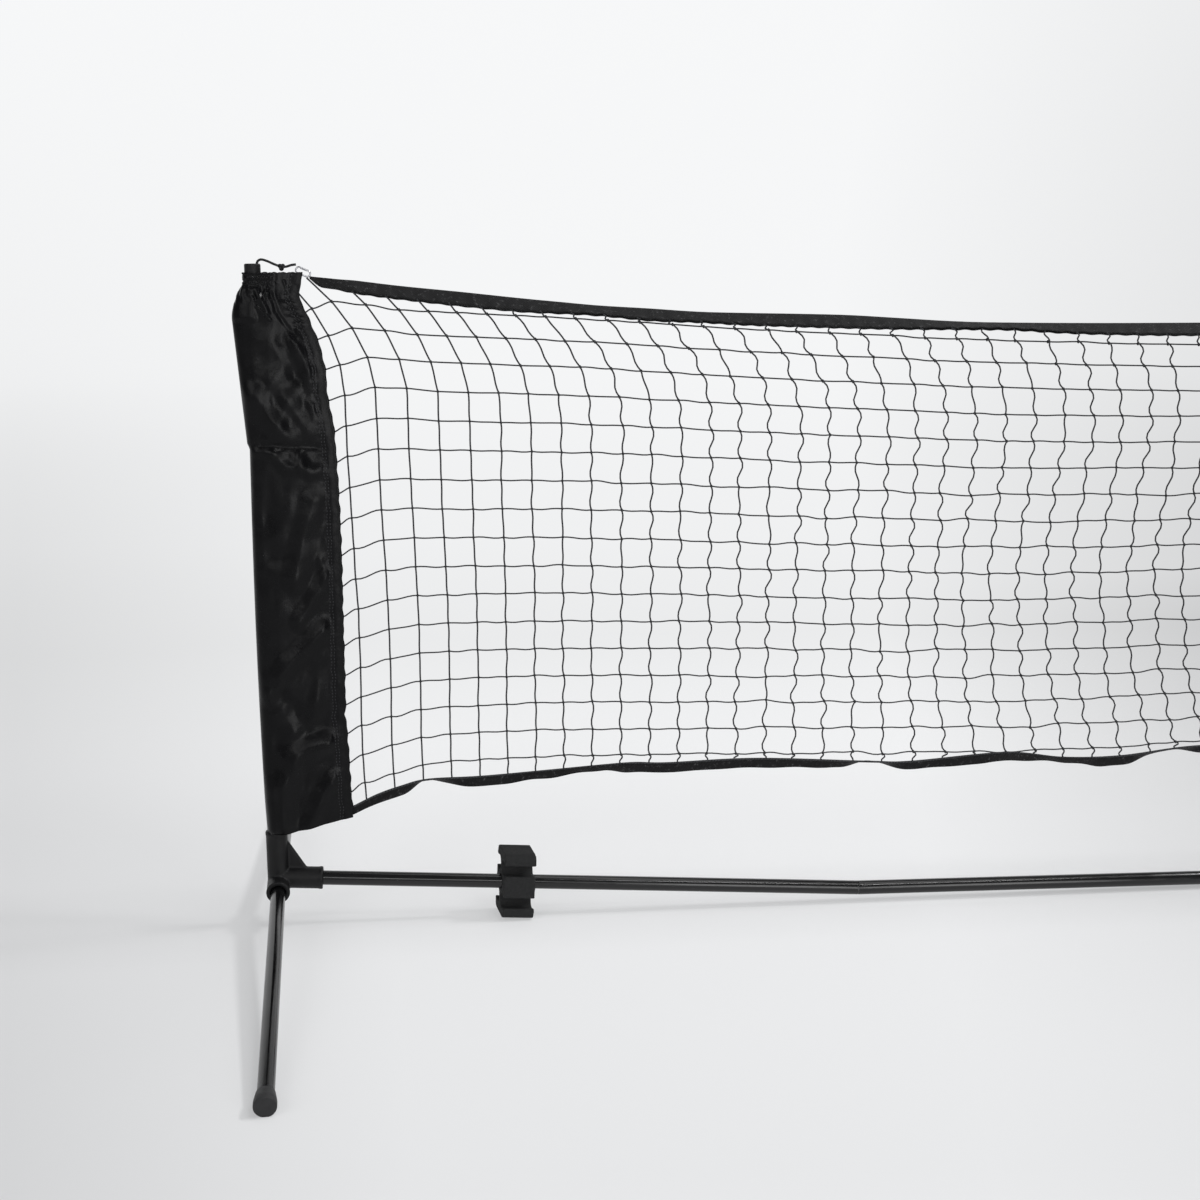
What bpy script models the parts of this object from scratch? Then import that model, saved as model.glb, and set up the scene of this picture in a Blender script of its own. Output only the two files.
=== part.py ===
"""Mini tennis net, three metre class, standing on a tube frame. Metres, +Z up.

The net plane is Y = 0 and the frame is the same left and right of X = 0. Along the
net, s is the distance from a post's axis towards the middle, so x = side * (HALF - s),
with side -1 on the left and +1 on the right.
"""
import math

import bmesh
import bpy
import numpy as np
from mathutils import Matrix, Vector

# Overall
HALF = 1.560            # middle of the net to a post's axis
GAP = 0.0003            # room between pieces that touch
STEPS = 24              # facets round a tube

# Steel tubes
TUBE_D = 0.0190
TUBE_WALL = 0.0011
POST_TOP = 0.8520
HUB_HEIGHT = 0.0667     # crossbar axis at the hub, above the floor
SEAM_S = 0.7850         # outer crossbar seam, from the post's axis
SEAM_HEIGHT = 0.0193    # crossbar axis at the outer seam
MIDDLE_HEIGHT = 0.0108  # crossbar axis at the middle seam
SEAM_GAP = 0.0008
SPIGOT_REACH = 0.0350   # spigot inside each tube

# Hub moulding
SOCKET_WALL = 0.0044
ARM_WALL = 0.0048
COLLAR_WALL = 0.0052
SOCKET_TOP = 0.0643     # post socket's rim, above the crossbar axis
SOCKET_DEPTH = 0.0480
ARM_REACH = 0.0585      # crossbar socket's rim, from the post's axis
ARM_DEPTH = 0.0450
COLLAR_REACH = 0.0310   # foot collar's rim, from the post's axis
COLLAR_DEPTH = 0.0250
COLLAR_DROP = 0.0082    # foot axis below the crossbar axis
BEAD = 0.0006           # raised lip round each rim
BEAD_LONG = 0.0040
GUSSET_THICK = 0.0060
GUSSET_HIGH = 0.0513    # on the post socket, above the crossbar axis
GUSSET_LONG = 0.0380    # on the crossbar socket, from the post's axis

# Feet
FOOT_REACH = 0.5105     # post's axis to the end cap's face, along Y
FOOT_TURN = math.radians(2.8)   # the feet's line, its front end turned towards the net
CAP_D = 0.0254
CAP_MOUTH_D = 0.0214
CAP_BAND = 0.0090
CAP_LONG = 0.0240
CAP_FACE = 0.0030
CAP_FLAT = 0.0010       # depth of the flat that rests on the floor

# Storage clips
CLIP_S = 0.3145
CLIP_LONG = 0.0418
CLIP_SLANT = math.radians(8.6)  # slanting cut of the clip's ends, seen from above
CLIP_HIGH = 0.0897
CLIP_DEEP = 0.0500
CLIP_CORNER = 0.0080
BAY_D = 0.0198
BAY_OUT = 0.0135        # bay centre from the clip's middle plane
BAY_UP = 0.0226         # bay centre above or below the crossbar axis
MOUTH = 0.0150

# Post plugs
PLUG_D = 0.0200
PLUG_HIGH = 0.0120
PLUG_STEM = 0.0240
CORD_HOLE_D = 0.0046
CORD_HOLE_DEPTH = 0.0070

# Sleeves
CLOTH = 0.0010
SLEEVE_OVER = 0.0015    # top edge above the post tube's end
SLEEVE_ROUND = 0.0140   # half depth over the post
SLEEVE_SEAM = 0.0016    # half depth at the seam with the net
SLEEVE_BACK = 0.0125    # least reach past the post, away from the net
SLEEVE_FULL = 0.0031    # extra reach half way up to the crease
SLEEVE_STEP = 0.0034    # extra reach just above the crease
SLEEVE_BULGE = 0.0273   # reach at the bulge under the gathered top
SLEEVE_GATHER = 0.0116  # reach and half depth where the elastic draws it in
GATHER_LOW = 0.0130     # lower edge of the elastic band, below the top edge
BULGE_DOWN = 0.0560     # bulge below the top edge
CREASE_DOWN = 0.2135    # packing crease below the top edge
SLEEVE_WIDE = 0.0972    # post's axis to the seam with the net
SLEEVE_FLARE = 0.0028   # extra width at the lower edge
FLARE_HIGH = 0.3000
SLEEVE_DRAWN = 0.0410   # width lost at the top
DRAWN_DOWN = 0.2535     # where the width starts to shrink, below the top edge
DRAWN_POWER = 1.8
SLEEVE_RISE = 0.172     # slope of the lower edge
SLEEVE_WAVE = 0.0014
SLEEVE_LEVELS = 16
CREASE_ROWS = 0.010     # share of the height between the rings beside the crease
FLANK_POINTS = 7
BACK_POINTS = 8
# Each fold is its two ends as (s, height), its half width and its height off the cloth
FRONT_FOLDS = (((0.0248, 0.2549), (-0.0014, 0.1459), 0.0110, 0.0030),
               ((0.0793, 0.2245), (0.0308, 0.1392), 0.0090, 0.0026),
               ((0.0378, 0.7848), (0.0701, 0.7291), 0.0090, 0.0030),
               ((-0.0159, 0.6439), (0.0929, 0.6362), 0.0080, -0.0030))
REAR_FOLDS = (((0.0700, 0.3000), (0.0120, 0.1900), 0.0120, 0.0028),
              ((0.0200, 0.7600), (0.0620, 0.6900), 0.0100, 0.0028),
              ((-0.0159, 0.6439), (0.0929, 0.6362), 0.0080, -0.0030))

# Tapes
TAPE_TIP = 0.0740
TAPE_HIGH = 0.0220
TAPE_THICK = 0.0054
TAPE_SLOT = 0.0030
TAPE_ROOF = 0.0020
TAPE_MIDDLE = 0.7770    # middle line's height at the middle of the net
TAPE_END_UP = 0.0010    # where the middle line would meet the post, above the tube's end
TAPE_POINTS = 17
RIBBON_WIDE = 0.0120
RIBBON_THICK = 0.0016
RIBBON_STRIPS = 220
# The ribbon's sewn upper edge as (s, height), and how far its free edge swings out
RIBBON_LINE = ((0.103, 0.1610), (0.135, 0.1760), (0.165, 0.1862), (0.200, 0.1943), (0.270, 0.1960),
               (0.350, 0.2009), (0.431, 0.2064), (0.475, 0.2084), (0.520, 0.2066), (0.640, 0.2088),
               (0.794, 0.1997), (0.853, 0.1978), (0.985, 0.2060), (1.068, 0.1965), (1.150, 0.1962),
               (1.262, 0.2070), (1.400, 0.2020), (1.560, 0.2030))
RIBBON_SWING = ((0.103, -30), (0.135, 0), (0.165, 0), (0.200, -78), (0.262, 10), (0.350, 58),
                (0.431, 82), (0.475, 10), (0.640, 0), (0.755, -25), (0.794, -86), (0.850, -22),
                (0.916, 0), (0.968, 44), (1.068, 80), (1.150, 0), (1.211, -72), (1.290, -20),
                (1.400, 0), (1.480, 60), (1.560, 0))

# Net
TWINE_D = 0.0018
NET_COLUMNS = 37
NET_BANDS = 6
NET_SIDE_ROOM = 0.0030  # sleeve's edge to the net's side line
NET_HEM = 0.0040        # net's top line below the tape's middle
LEAN_MOST = 0.0850
LEAN_DEPTH = 0.1250
LEAN_POWER = 1.9
LEAN_START = 16         # cells' share of the width over which the lean comes in

# Tension cord, its knot and the snap link: s, and height above the post tube's end
CORD_D = 0.0030
CORD_ROUTE = ((0.0055, 0.0068), (0.0056, 0.0122), (0.0072, 0.0156), (0.0112, 0.0172),
              (0.0180, 0.0154), (0.0250, 0.0122), (0.0314, 0.0096))
CORD_POINTS = 14
KNOT_D = 0.0076
TAIL_END = (0.0530, 0.0112)
LINK_LONG = 0.0200
LINK_HIGH = 0.0095
LINK_WIRE_D = 0.0018
LINK_MIDDLE = (0.0612, 0.0022)
LINK_SLOPE = math.radians(-24)

TUBE_R = TUBE_D / 2
BORE_R = TUBE_R + GAP
SOCKET_R = BORE_R + SOCKET_WALL
ARM_R = BORE_R + ARM_WALL
COLLAR_R = BORE_R + COLLAR_WALL
FOOT_HEIGHT = HUB_HEIGHT - COLLAR_DROP
CAP_R = CAP_D / 2
HUB_RIM = HUB_HEIGHT + SOCKET_TOP
SLEEVE_TOP = POST_TOP + SLEEVE_OVER
SLEEVE_LOW = HUB_RIM + 2 * GAP
TAPE_RISE = POST_TOP + TAPE_END_UP - TAPE_MIDDLE
UNDER_FOOT = RIBBON_THICK / 2 + TWINE_D + GAP
UNDER_LINK = POST_TOP + LINK_MIDDLE[1] - LINK_HIGH - TWINE_D
SIDES = {"left": -1, "right": 1}
ENDS = {"front": -1, "back": 1}


def start():
    """Empty the scene, then make the two collections and the materials."""
    for thing in list(bpy.data.objects):
        bpy.data.objects.remove(thing, do_unlink=True)
    groups = {}
    for name in ("mini_tennis_net", "cutters"):
        groups[name] = bpy.data.collections.new(name)
        bpy.context.scene.collection.children.link(groups[name])
    finishes = {
        "gloss_black_tube": ((0.012, 0.012, 0.013), 0.22, 0.0),
        "matte_black_moulding": ((0.020, 0.020, 0.021), 0.55, 0.0),
        "dark_grey_foam": ((0.035, 0.036, 0.037), 0.80, 0.0),
        "steel_spigot": ((0.45, 0.45, 0.46), 0.35, 1.0),
        "black_sleeve_cloth": ((0.014, 0.014, 0.017), 0.50, 0.0),
        "black_tape": ((0.013, 0.013, 0.014), 0.70, 0.0),
        "dark_twine": ((0.030, 0.031, 0.033), 0.75, 0.0),
        "black_cord": ((0.012, 0.012, 0.012), 0.70, 0.0),
        "bright_link": ((0.75, 0.75, 0.76), 0.20, 1.0),
    }
    materials = {}
    for name, (colour, rough, metal) in finishes.items():
        made = bpy.data.materials.new(name)
        made.use_nodes = True
        shader = made.node_tree.nodes["Principled BSDF"]
        shader.inputs["Base Color"].default_value = (*colour, 1.0)
        shader.inputs["Roughness"].default_value = rough
        shader.inputs["Metallic"].default_value = metal
        materials[name] = made
    return groups, materials


GROUPS, MATERIALS = start()


def settle(thing, finish=None):
    """Put an object in the part's collection with its finish, or with none among the cutters."""
    for group in list(thing.users_collection):
        group.objects.unlink(thing)
    GROUPS["mini_tennis_net" if finish else "cutters"].objects.link(thing)
    if finish:
        thing.data.materials.append(MATERIALS[finish])
    else:
        thing.hide_render = True
        thing.display_type = "WIRE"
    return thing


def add(name, data, finish=None):
    return settle(bpy.data.objects.new(name, data), finish)


def adopt(name, finish=None):
    """The primitive that was just added, under its own name."""
    thing = bpy.context.object
    thing.name = name
    return settle(thing, finish)


def aim(thing, at, along):
    """Place an object's origin and turn its +Z to a direction, its +X kept level."""
    z_axis = Vector(along).normalized()
    side_axis = Vector((0, 1, 0)) if abs(z_axis.y) < 0.9 else Vector((1, 0, 0))
    x_axis = side_axis.cross(z_axis).normalized()
    y_axis = z_axis.cross(x_axis)
    thing.rotation_euler = Matrix((x_axis, y_axis, z_axis)).transposed().to_euler()
    thing.location = Vector(at)
    return thing


def turned(name, profile, at, along, finish=None, closed=False):
    """Revolve a profile of (radius, height), given down its outer side, about +Z."""
    mesh = bpy.data.meshes.new(name)
    points = [(radius, 0, height) for radius, height in profile]
    edges = [(i, i + 1) for i in range(len(points) - 1)]
    if closed:
        edges.append((len(points) - 1, 0))
    mesh.from_pydata(points, edges, [])
    thing = add(name, mesh, finish)
    screw = thing.modifiers.new("turn", "SCREW")
    screw.steps = STEPS
    screw.render_steps = STEPS
    screw.use_merge_vertices = True
    screw.merge_threshold = 0.00001
    screw.use_smooth_shade = True
    return aim(thing, at, along)


def rod_profile(radius, low, high):
    return [(0, high), (radius, high), (radius, low), (0, low)]


def ring_profile(outer, inner, low, high):
    return [(outer, high), (outer, low), (inner, low), (inner, high)]


def lipped_profile(radius, low, high):
    """A rod with a raised lip round its upper rim."""
    return [(0, high), (radius + BEAD, high), (radius + BEAD, high - BEAD_LONG),
            (radius, high - BEAD_LONG - BEAD), (radius, low), (0, low)]


def cut(thing, cutter, operation="DIFFERENCE"):
    step = thing.modifiers.new(operation.lower(), "BOOLEAN")
    step.operation = operation
    step.solver = "MANIFOLD"
    step.object = cutter


def outline(name, rings, thick, finish=None):
    """Flat outlines filled in their XY plane, and as thick as given along Z."""
    curve = bpy.data.curves.new(name, "CURVE")
    curve.dimensions = "2D"
    curve.fill_mode = "BOTH"
    curve.extrude = thick / 2
    for ring in rings:
        spline = curve.splines.new("POLY")
        spline.points.add(len(ring) - 1)
        spline.use_cyclic_u = True
        for point, (x, y) in zip(spline.points, ring):
            point.co = (x, y, 0, 1)
    flat = add(name, curve)
    mesh = bpy.data.meshes.new_from_object(flat.evaluated_get(bpy.context.evaluated_depsgraph_get()))
    bpy.data.objects.remove(flat)
    shape = bmesh.new()
    shape.from_mesh(mesh)
    bmesh.ops.remove_doubles(shape, verts=shape.verts, dist=0.00001)
    bmesh.ops.recalc_face_normals(shape, faces=shape.faces)
    shape.to_mesh(mesh)
    shape.free()
    return add(name, mesh, finish)


def wire(name, points, diameter, finish, sides=2, cyclic=False):
    """A round wire or cord along its points."""
    curve = bpy.data.curves.new(name, "CURVE")
    curve.dimensions = "3D"
    curve.bevel_depth = diameter / 2
    curve.bevel_resolution = sides
    curve.use_fill_caps = True
    spline = curve.splines.new("POLY")
    spline.points.add(len(points) - 1)
    spline.use_cyclic_u = cyclic
    for point, place in zip(spline.points, points):
        point.co = (*place, 1)
    return add(name, curve, finish)


def smooth_route(points, count, between=20):
    """Evenly spaced points on a Catmull-Rom curve through a route's own points."""
    knots = [Vector(point) for point in points]
    knots = [2 * knots[0] - knots[1], *knots, 2 * knots[-1] - knots[-2]]
    fine = []
    for a, b, c, d in zip(knots, knots[1:], knots[2:], knots[3:]):
        for step in range(between):
            t = step / between
            fine.append(0.5 * (2 * b + (c - a) * t + (2 * a - 5 * b + 4 * c - d) * t ** 2
                               + (3 * b - a - 3 * c + d) * t ** 3))
    fine.append(knots[-2])
    steps = [0.0]
    for a, b in zip(fine, fine[1:]):
        steps.append(steps[-1] + (b - a).length)
    wanted = np.linspace(0, steps[-1], count)
    return [tuple(np.interp(w, steps, [p[axis] for p in fine]) for axis in range(3))
            for w in wanted]


def eased(stations, s):
    """A value read between stations of (s, value), level at each station."""
    for (s0, v0), (s1, v1) in zip(stations, stations[1:]):
        if s <= s1:
            t = min(1.0, max(0.0, (s - s0) / (s1 - s0)))
            return v0 + (v1 - v0) * t * t * (3 - 2 * t)
    return stations[-1][1]


def world(side, s, y, z):
    """A point given by its distance s from a side's post axis."""
    return Vector((side * (HALF - s), y, z))


def both_sides(first, count):
    """Distances s and sides along the whole net, from one end to the other."""
    half = np.linspace(first, HALF, count)
    return [(-1, s) for s in half] + [(1, s) for s in half[-2::-1]]


def bar_height(s):
    """Height of the crossbar's axis: straight from hub to seam, and on to the middle."""
    if s < SEAM_S:
        return HUB_HEIGHT + (SEAM_HEIGHT - HUB_HEIGHT) * s / SEAM_S
    return SEAM_HEIGHT + (MIDDLE_HEIGHT - SEAM_HEIGHT) * (s - SEAM_S) / (HALF - SEAM_S)


def bar_point(side, s):
    return world(side, s, 0, bar_height(s))


def tube(name, begin, end):
    """A hollow tube between two points on its axis."""
    along = end - begin
    profile = ring_profile(TUBE_R, TUBE_R - TUBE_WALL, 0, along.length)
    return turned(name, profile, begin, along, "gloss_black_tube", closed=True)


def foot_line(side, end):
    """The foot's axis: its start under the post, its direction, and its length to the cap's face."""
    inner = world(side, 0, 0, FOOT_HEIGHT)
    outer = world(side, -end * FOOT_REACH * math.tan(FOOT_TURN), end * FOOT_REACH,
                  CAP_R - CAP_FLAT)
    return inner, (outer - inner).normalized(), (outer - inner).length


def make_hub(label, side):
    """The moulded four-way hub: post socket, crossbar socket, two foot collars, gusset."""
    down_bar = (bar_point(side, SEAM_S) - bar_point(side, 0)).normalized()
    axis = world(side, 0, 0, 0)
    base = bar_point(side, 0)
    foot_of_socket = FOOT_HEIGHT - SOCKET_R + BEAD
    body = lipped_profile(SOCKET_R, foot_of_socket + BEAD_LONG, HUB_RIM)[:-1]
    body += [(SOCKET_R - BEAD_LONG, foot_of_socket), (0, foot_of_socket)]
    hub = turned(f"hub_{label}", body, axis, (0, 0, 1), "matte_black_moulding")
    arm = lipped_profile(ARM_R, 0, ARM_REACH)
    cut(hub, turned(f"arm_{label}", arm, base, down_bar), "UNION")
    feet = {end_label: foot_line(side, end)[:2] for end_label, end in ENDS.items()}
    for end_label, (inner, outward) in feet.items():
        collar = lipped_profile(COLLAR_R, 0, COLLAR_REACH)
        cut(hub, turned(f"collar_{label}_{end_label}", collar, inner, outward), "UNION")
    web = [(0, HUB_HEIGHT), (0, HUB_HEIGHT + GUSSET_HIGH),
           (SOCKET_R - BEAD, HUB_HEIGHT + GUSSET_HIGH),
           (GUSSET_LONG, bar_height(GUSSET_LONG) + ARM_R - BEAD), (GUSSET_LONG, HUB_HEIGHT)]
    ring = [(side * (HALF - s), z) for s, z in web]
    gusset = outline(f"gusset_{label}", [ring], GUSSET_THICK)
    gusset.rotation_euler = (math.pi / 2, 0, 0)
    cut(hub, gusset, "UNION")
    post_bore = rod_profile(BORE_R, HUB_RIM - SOCKET_DEPTH, HUB_RIM + BEAD_LONG)
    cut(hub, turned(f"post_bore_{label}", post_bore, axis, (0, 0, 1)))
    arm_bore = rod_profile(BORE_R, ARM_REACH - ARM_DEPTH, ARM_REACH + BEAD_LONG)
    cut(hub, turned(f"arm_bore_{label}", arm_bore, base, down_bar))
    for end_label, (inner, outward) in feet.items():
        bore = rod_profile(BORE_R, COLLAR_REACH - COLLAR_DEPTH, COLLAR_REACH + BEAD_LONG)
        cutter = turned(f"foot_bore_{label}_{end_label}", bore, inner, outward)
        cut(hub, cutter)


def make_feet(label, side):
    """Each foot's tube, and the rubber cap with the flat that it stands on."""
    slab_size = CAP_LONG * 3
    for end_label, end in ENDS.items():
        inner, outward, length = foot_line(side, end)
        begin = inner + outward * (COLLAR_REACH - COLLAR_DEPTH + GAP)
        tube(f"foot_tube_{label}_{end_label}", begin, inner + outward * (length - CAP_FACE - GAP))
        mouth = length - CAP_LONG
        profile = [(0, length), (CAP_R - BEAD, length), (CAP_R, length - BEAD),
                   (CAP_R, length - CAP_BAND), (CAP_MOUTH_D / 2, mouth), (BORE_R, mouth),
                   (BORE_R, length - CAP_FACE), (0, length - CAP_FACE)]
        cap = turned(f"foot_cap_{label}_{end_label}", profile, inner, outward,
                     "matte_black_moulding")
        outer = inner + outward * length
        bpy.ops.mesh.primitive_cube_add(size=slab_size, location=(outer.x, outer.y, -slab_size / 2))
        cut(cap, adopt(f"floor_{label}_{end_label}"))


def make_crossbar():
    """Four tubes that butt end to end, with a spigot inside each of the three seams."""
    rim = ARM_REACH - ARM_DEPTH + GAP
    number = 1
    for side in SIDES.values():
        outer_dir = (bar_point(side, SEAM_S) - bar_point(side, 0)).normalized()
        inner_dir = (bar_point(side, HALF) - bar_point(side, SEAM_S)).normalized()
        outer = (bar_point(side, 0) + outer_dir * rim,
                 bar_point(side, SEAM_S) - outer_dir * SEAM_GAP / 2)
        inner = (bar_point(side, SEAM_S) + inner_dir * SEAM_GAP / 2,
                 bar_point(side, HALF) - inner_dir * SEAM_GAP / 2)
        for ends in (outer, inner) if side < 0 else (inner, outer):
            tube(f"crossbar_tube_{number}", *ends)
            number += 1
    spigot_d = TUBE_D - 2 * TUBE_WALL - 2 * GAP
    seams = ((-1, SEAM_S), (-1, HALF), (1, SEAM_S))
    for index, (side, s) in enumerate(seams, 1):
        middle = bar_point(side, s)
        before = bar_point(side, s - SPIGOT_REACH)
        after = bar_point(-side, s - SPIGOT_REACH) if s == HALF else bar_point(side, s + SPIGOT_REACH)
        wire(f"crossbar_spigot_{index}", [before, middle, after], spigot_d, "steel_spigot", sides=4)


def arc(centre, radius, begin, end, count):
    """Points on an arc, from one angle in degrees to another."""
    return [(centre[0] + radius * math.cos(math.radians(a)),
             centre[1] + radius * math.sin(math.radians(a)))
            for a in np.linspace(begin, end, count)]


def clip_ring():
    """Clip outline in (depth, height): four open bays and a rounded lobe at each corner."""
    corner_x = CLIP_DEEP / 2 - CLIP_CORNER
    corner_y = CLIP_HIGH / 2 - CLIP_CORNER
    half_angle = math.degrees(math.asin(MOUTH / BAY_D))
    quarter = arc((corner_x, corner_y), CLIP_CORNER, 90, 0, 6)
    quarter += [(CLIP_DEEP / 2, BAY_UP + MOUTH / 2)]
    quarter += arc((BAY_OUT, BAY_UP), BAY_D / 2, half_angle, 360 - half_angle, 13)
    quarter += [(CLIP_DEEP / 2, BAY_UP - MOUTH / 2)]
    ring = list(quarter)
    ring += [(x, -y) for x, y in reversed(quarter)]
    ring += [(-x, -y) for x, y in quarter]
    ring += [(-x, y) for x, y in reversed(quarter)]
    return ring


def make_clip(label, side):
    """Foam storage clip that slides on the crossbar, with a bay for each spare tube."""
    along = (bar_point(side, SEAM_S) - bar_point(side, 0)).normalized()
    bore = arc((0, 0), BORE_R, 0, 360, STEPS + 1)[:-1]
    clip = outline(f"storage_clip_{label}", [clip_ring(), bore], CLIP_LONG, "dark_grey_foam")
    x_axis = Vector((0, side, 0)) * math.copysign(1, along.x)
    y_axis = along.cross(x_axis)
    if y_axis.z < 0:
        y_axis = -y_axis
        x_axis = -x_axis
    for vertex in clip.data.vertices:
        vertex.co.z -= vertex.co.x * x_axis.y * math.tan(CLIP_SLANT)
    clip.rotation_euler = Matrix((x_axis, y_axis, along)).transposed().to_euler()
    clip.location = bar_point(side, CLIP_S)


def make_post(label, side):
    """Post tube and the plug in its top, with the hole that the tension cord leaves by."""
    axis = world(side, 0, 0, 0)
    seat = HUB_RIM - SOCKET_DEPTH + GAP
    tube(f"post_{label}", world(side, 0, 0, seat), world(side, 0, 0, POST_TOP))
    stem_r = TUBE_R - TUBE_WALL - GAP
    low = POST_TOP + GAP
    high = low + PLUG_HIGH
    profile = [(0, high), (PLUG_D / 2 - 2 * BEAD, high), (PLUG_D / 2, high - 2 * BEAD),
               (PLUG_D / 2, low), (stem_r, low), (stem_r, low - PLUG_STEM), (0, low - PLUG_STEM)]
    plug = turned(f"post_plug_{label}", profile, axis, (0, 0, 1), "matte_black_moulding")
    hole = rod_profile(CORD_HOLE_D / 2, -CORD_HOLE_DEPTH, CORD_HOLE_DEPTH)
    hole_top = world(side, CORD_ROUTE[0][0], 0, high)
    cut(plug, turned(f"cord_hole_{label}", hole, hole_top, (0, 0, 1)))


def sleeve_edge(z):
    """Distance from the post's axis to the sleeve's seam with the net."""
    drawn_high = DRAWN_DOWN - GATHER_LOW
    drawn = max(0.0, (z - SLEEVE_TOP + DRAWN_DOWN) / drawn_high) ** DRAWN_POWER
    flare = min(1.0, max(0.0, (FLARE_HIGH - z) / (FLARE_HIGH - HUB_RIM)))
    return SLEEVE_WIDE + SLEEVE_FLARE * flare - SLEEVE_DRAWN * drawn


def gathered(z):
    """0 at the bulge and below it, and 1 from the elastic band's lower edge up."""
    t = (z - SLEEVE_TOP + BULGE_DOWN) / (BULGE_DOWN - GATHER_LOW)
    return 1 - math.cos(math.pi / 2 * min(1.0, max(0.0, t)))


def sleeve_back(z):
    """Reach of the sleeve past the post: full, stepped at the crease, bulging, then gathered."""
    crease = SLEEVE_TOP - CREASE_DOWN
    if z < crease:
        up = max(0.0, (z - HUB_RIM) / (crease - HUB_RIM))
        return SLEEVE_BACK + SLEEVE_FULL * math.sin(math.pi * up)
    stepped = SLEEVE_BACK + SLEEVE_STEP
    up = min(1.0, (z - crease) / (CREASE_DOWN - BULGE_DOWN))
    reach = stepped + (SLEEVE_BULGE - stepped) * up
    return reach + (SLEEVE_GATHER - reach) * gathered(z)


def fold_height(s, z, folds):
    """Height of all folds at a place: each fades across its line and towards its ends."""
    total = 0.0
    for begin, end, wide, high in folds:
        line = Vector(end) - Vector(begin)
        here = Vector((s, z)) - Vector(begin)
        along = min(1.0, max(0.0, here.dot(line) / line.length_squared))
        off = (here - line * along).length
        total += high * math.exp(-(off / wide) ** 2)
    return total


def sleeve_face(s, z, front):
    """Half depth of the sleeve's front or rear panel: a taper from post to seam, with its folds."""
    across = min(1.0, max(0.0, s / sleeve_edge(z)))
    deep = SLEEVE_ROUND + (SLEEVE_GATHER - SLEEVE_ROUND) * gathered(z)
    flat = SLEEVE_SEAM + (deep - SLEEVE_SEAM) * (1 - across) ** 0.8
    wave = SLEEVE_WAVE * math.sin(math.pi * across) * math.sin(
        2 * math.pi * (z / 0.21 + s / 0.12) + (0 if front else 1.7))
    folds = fold_height(s, z, FRONT_FOLDS if front else REAR_FOLDS)
    folds *= math.sin(math.pi / 2 * min(1.0, 4 * (1 - across)))
    clear = math.sqrt(max(0.0, (TUBE_R + 2 * CLOTH) ** 2 - s * s))
    return max(flat + wave + folds, clear, SLEEVE_SEAM)


def sleeve_ring(z_at, seam, reach, back_deep):
    """One ring round the pocket as (s, y, z): front panel, round the post, rear panel."""
    ring = []
    for i in range(FLANK_POINTS):
        s = seam * (1 - i / FLANK_POINTS)
        ring.append((s, -sleeve_face(s, z_at(s), True), z_at(s)))
    for i in range(BACK_POINTS + 1):
        angle = math.pi / 2 + math.pi * i / BACK_POINTS
        s = reach * math.cos(angle)
        ring.append((s, -back_deep * math.sin(angle), z_at(s)))
    for i in range(FLANK_POINTS - 1, -1, -1):
        s = seam * (1 - i / FLANK_POINTS)
        ring.append((s, sleeve_face(s, z_at(s), False), z_at(s)))
    return ring


def make_sleeve(label, side):
    """Cloth pocket round the post: a loft of teardrop rings with its crease and main folds."""
    span = SLEEVE_TOP - SLEEVE_LOW
    crease, bulge, band = (1 - down / span for down in (CREASE_DOWN, BULGE_DOWN, GATHER_LOW))
    extra = [crease - CREASE_ROWS, crease, crease + CREASE_ROWS, bulge, (bulge + band) / 2, band]
    levels = sorted([*np.linspace(0, 1, SLEEVE_LEVELS + 1), *extra])
    rows = []
    for up in levels:
        def z_at(s):
            low = SLEEVE_LOW + SLEEVE_RISE * max(0.0, s - SLEEVE_BACK)
            return low + (SLEEVE_TOP - low) * up
        height = SLEEVE_LOW + span * up
        deep = SLEEVE_ROUND + (SLEEVE_GATHER - SLEEVE_ROUND) * gathered(height)
        ring = sleeve_ring(z_at, sleeve_edge(height), sleeve_back(height), deep)
        rows.append([world(side, *point) for point in ring])
    shape = bmesh.new()
    grid = [[shape.verts.new(point) for point in row] for row in rows]
    around = len(grid[0])
    for low_row, high_row in zip(grid, grid[1:]):
        for i in range(around):
            j = (i + 1) % around
            shape.faces.new((low_row[i], low_row[j], high_row[j], high_row[i]))
    bmesh.ops.recalc_face_normals(shape, faces=shape.faces)
    mesh = bpy.data.meshes.new(f"sleeve_{label}")
    shape.to_mesh(mesh)
    shape.free()
    mesh.shade_smooth()
    shell = add(f"sleeve_{label}", mesh, "black_sleeve_cloth").modifiers.new("cloth", "SOLIDIFY")
    shell.thickness = CLOTH
    outward = max(mesh.polygons, key=lambda polygon: side * polygon.center.x)
    shell.offset = -side if outward.normal.x > 0 else side


def tape_height(s):
    """Middle line of the top tape: it sags from the tip to the middle."""
    return TAPE_MIDDLE + TAPE_RISE * (1 - s / HALF) ** 3


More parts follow.
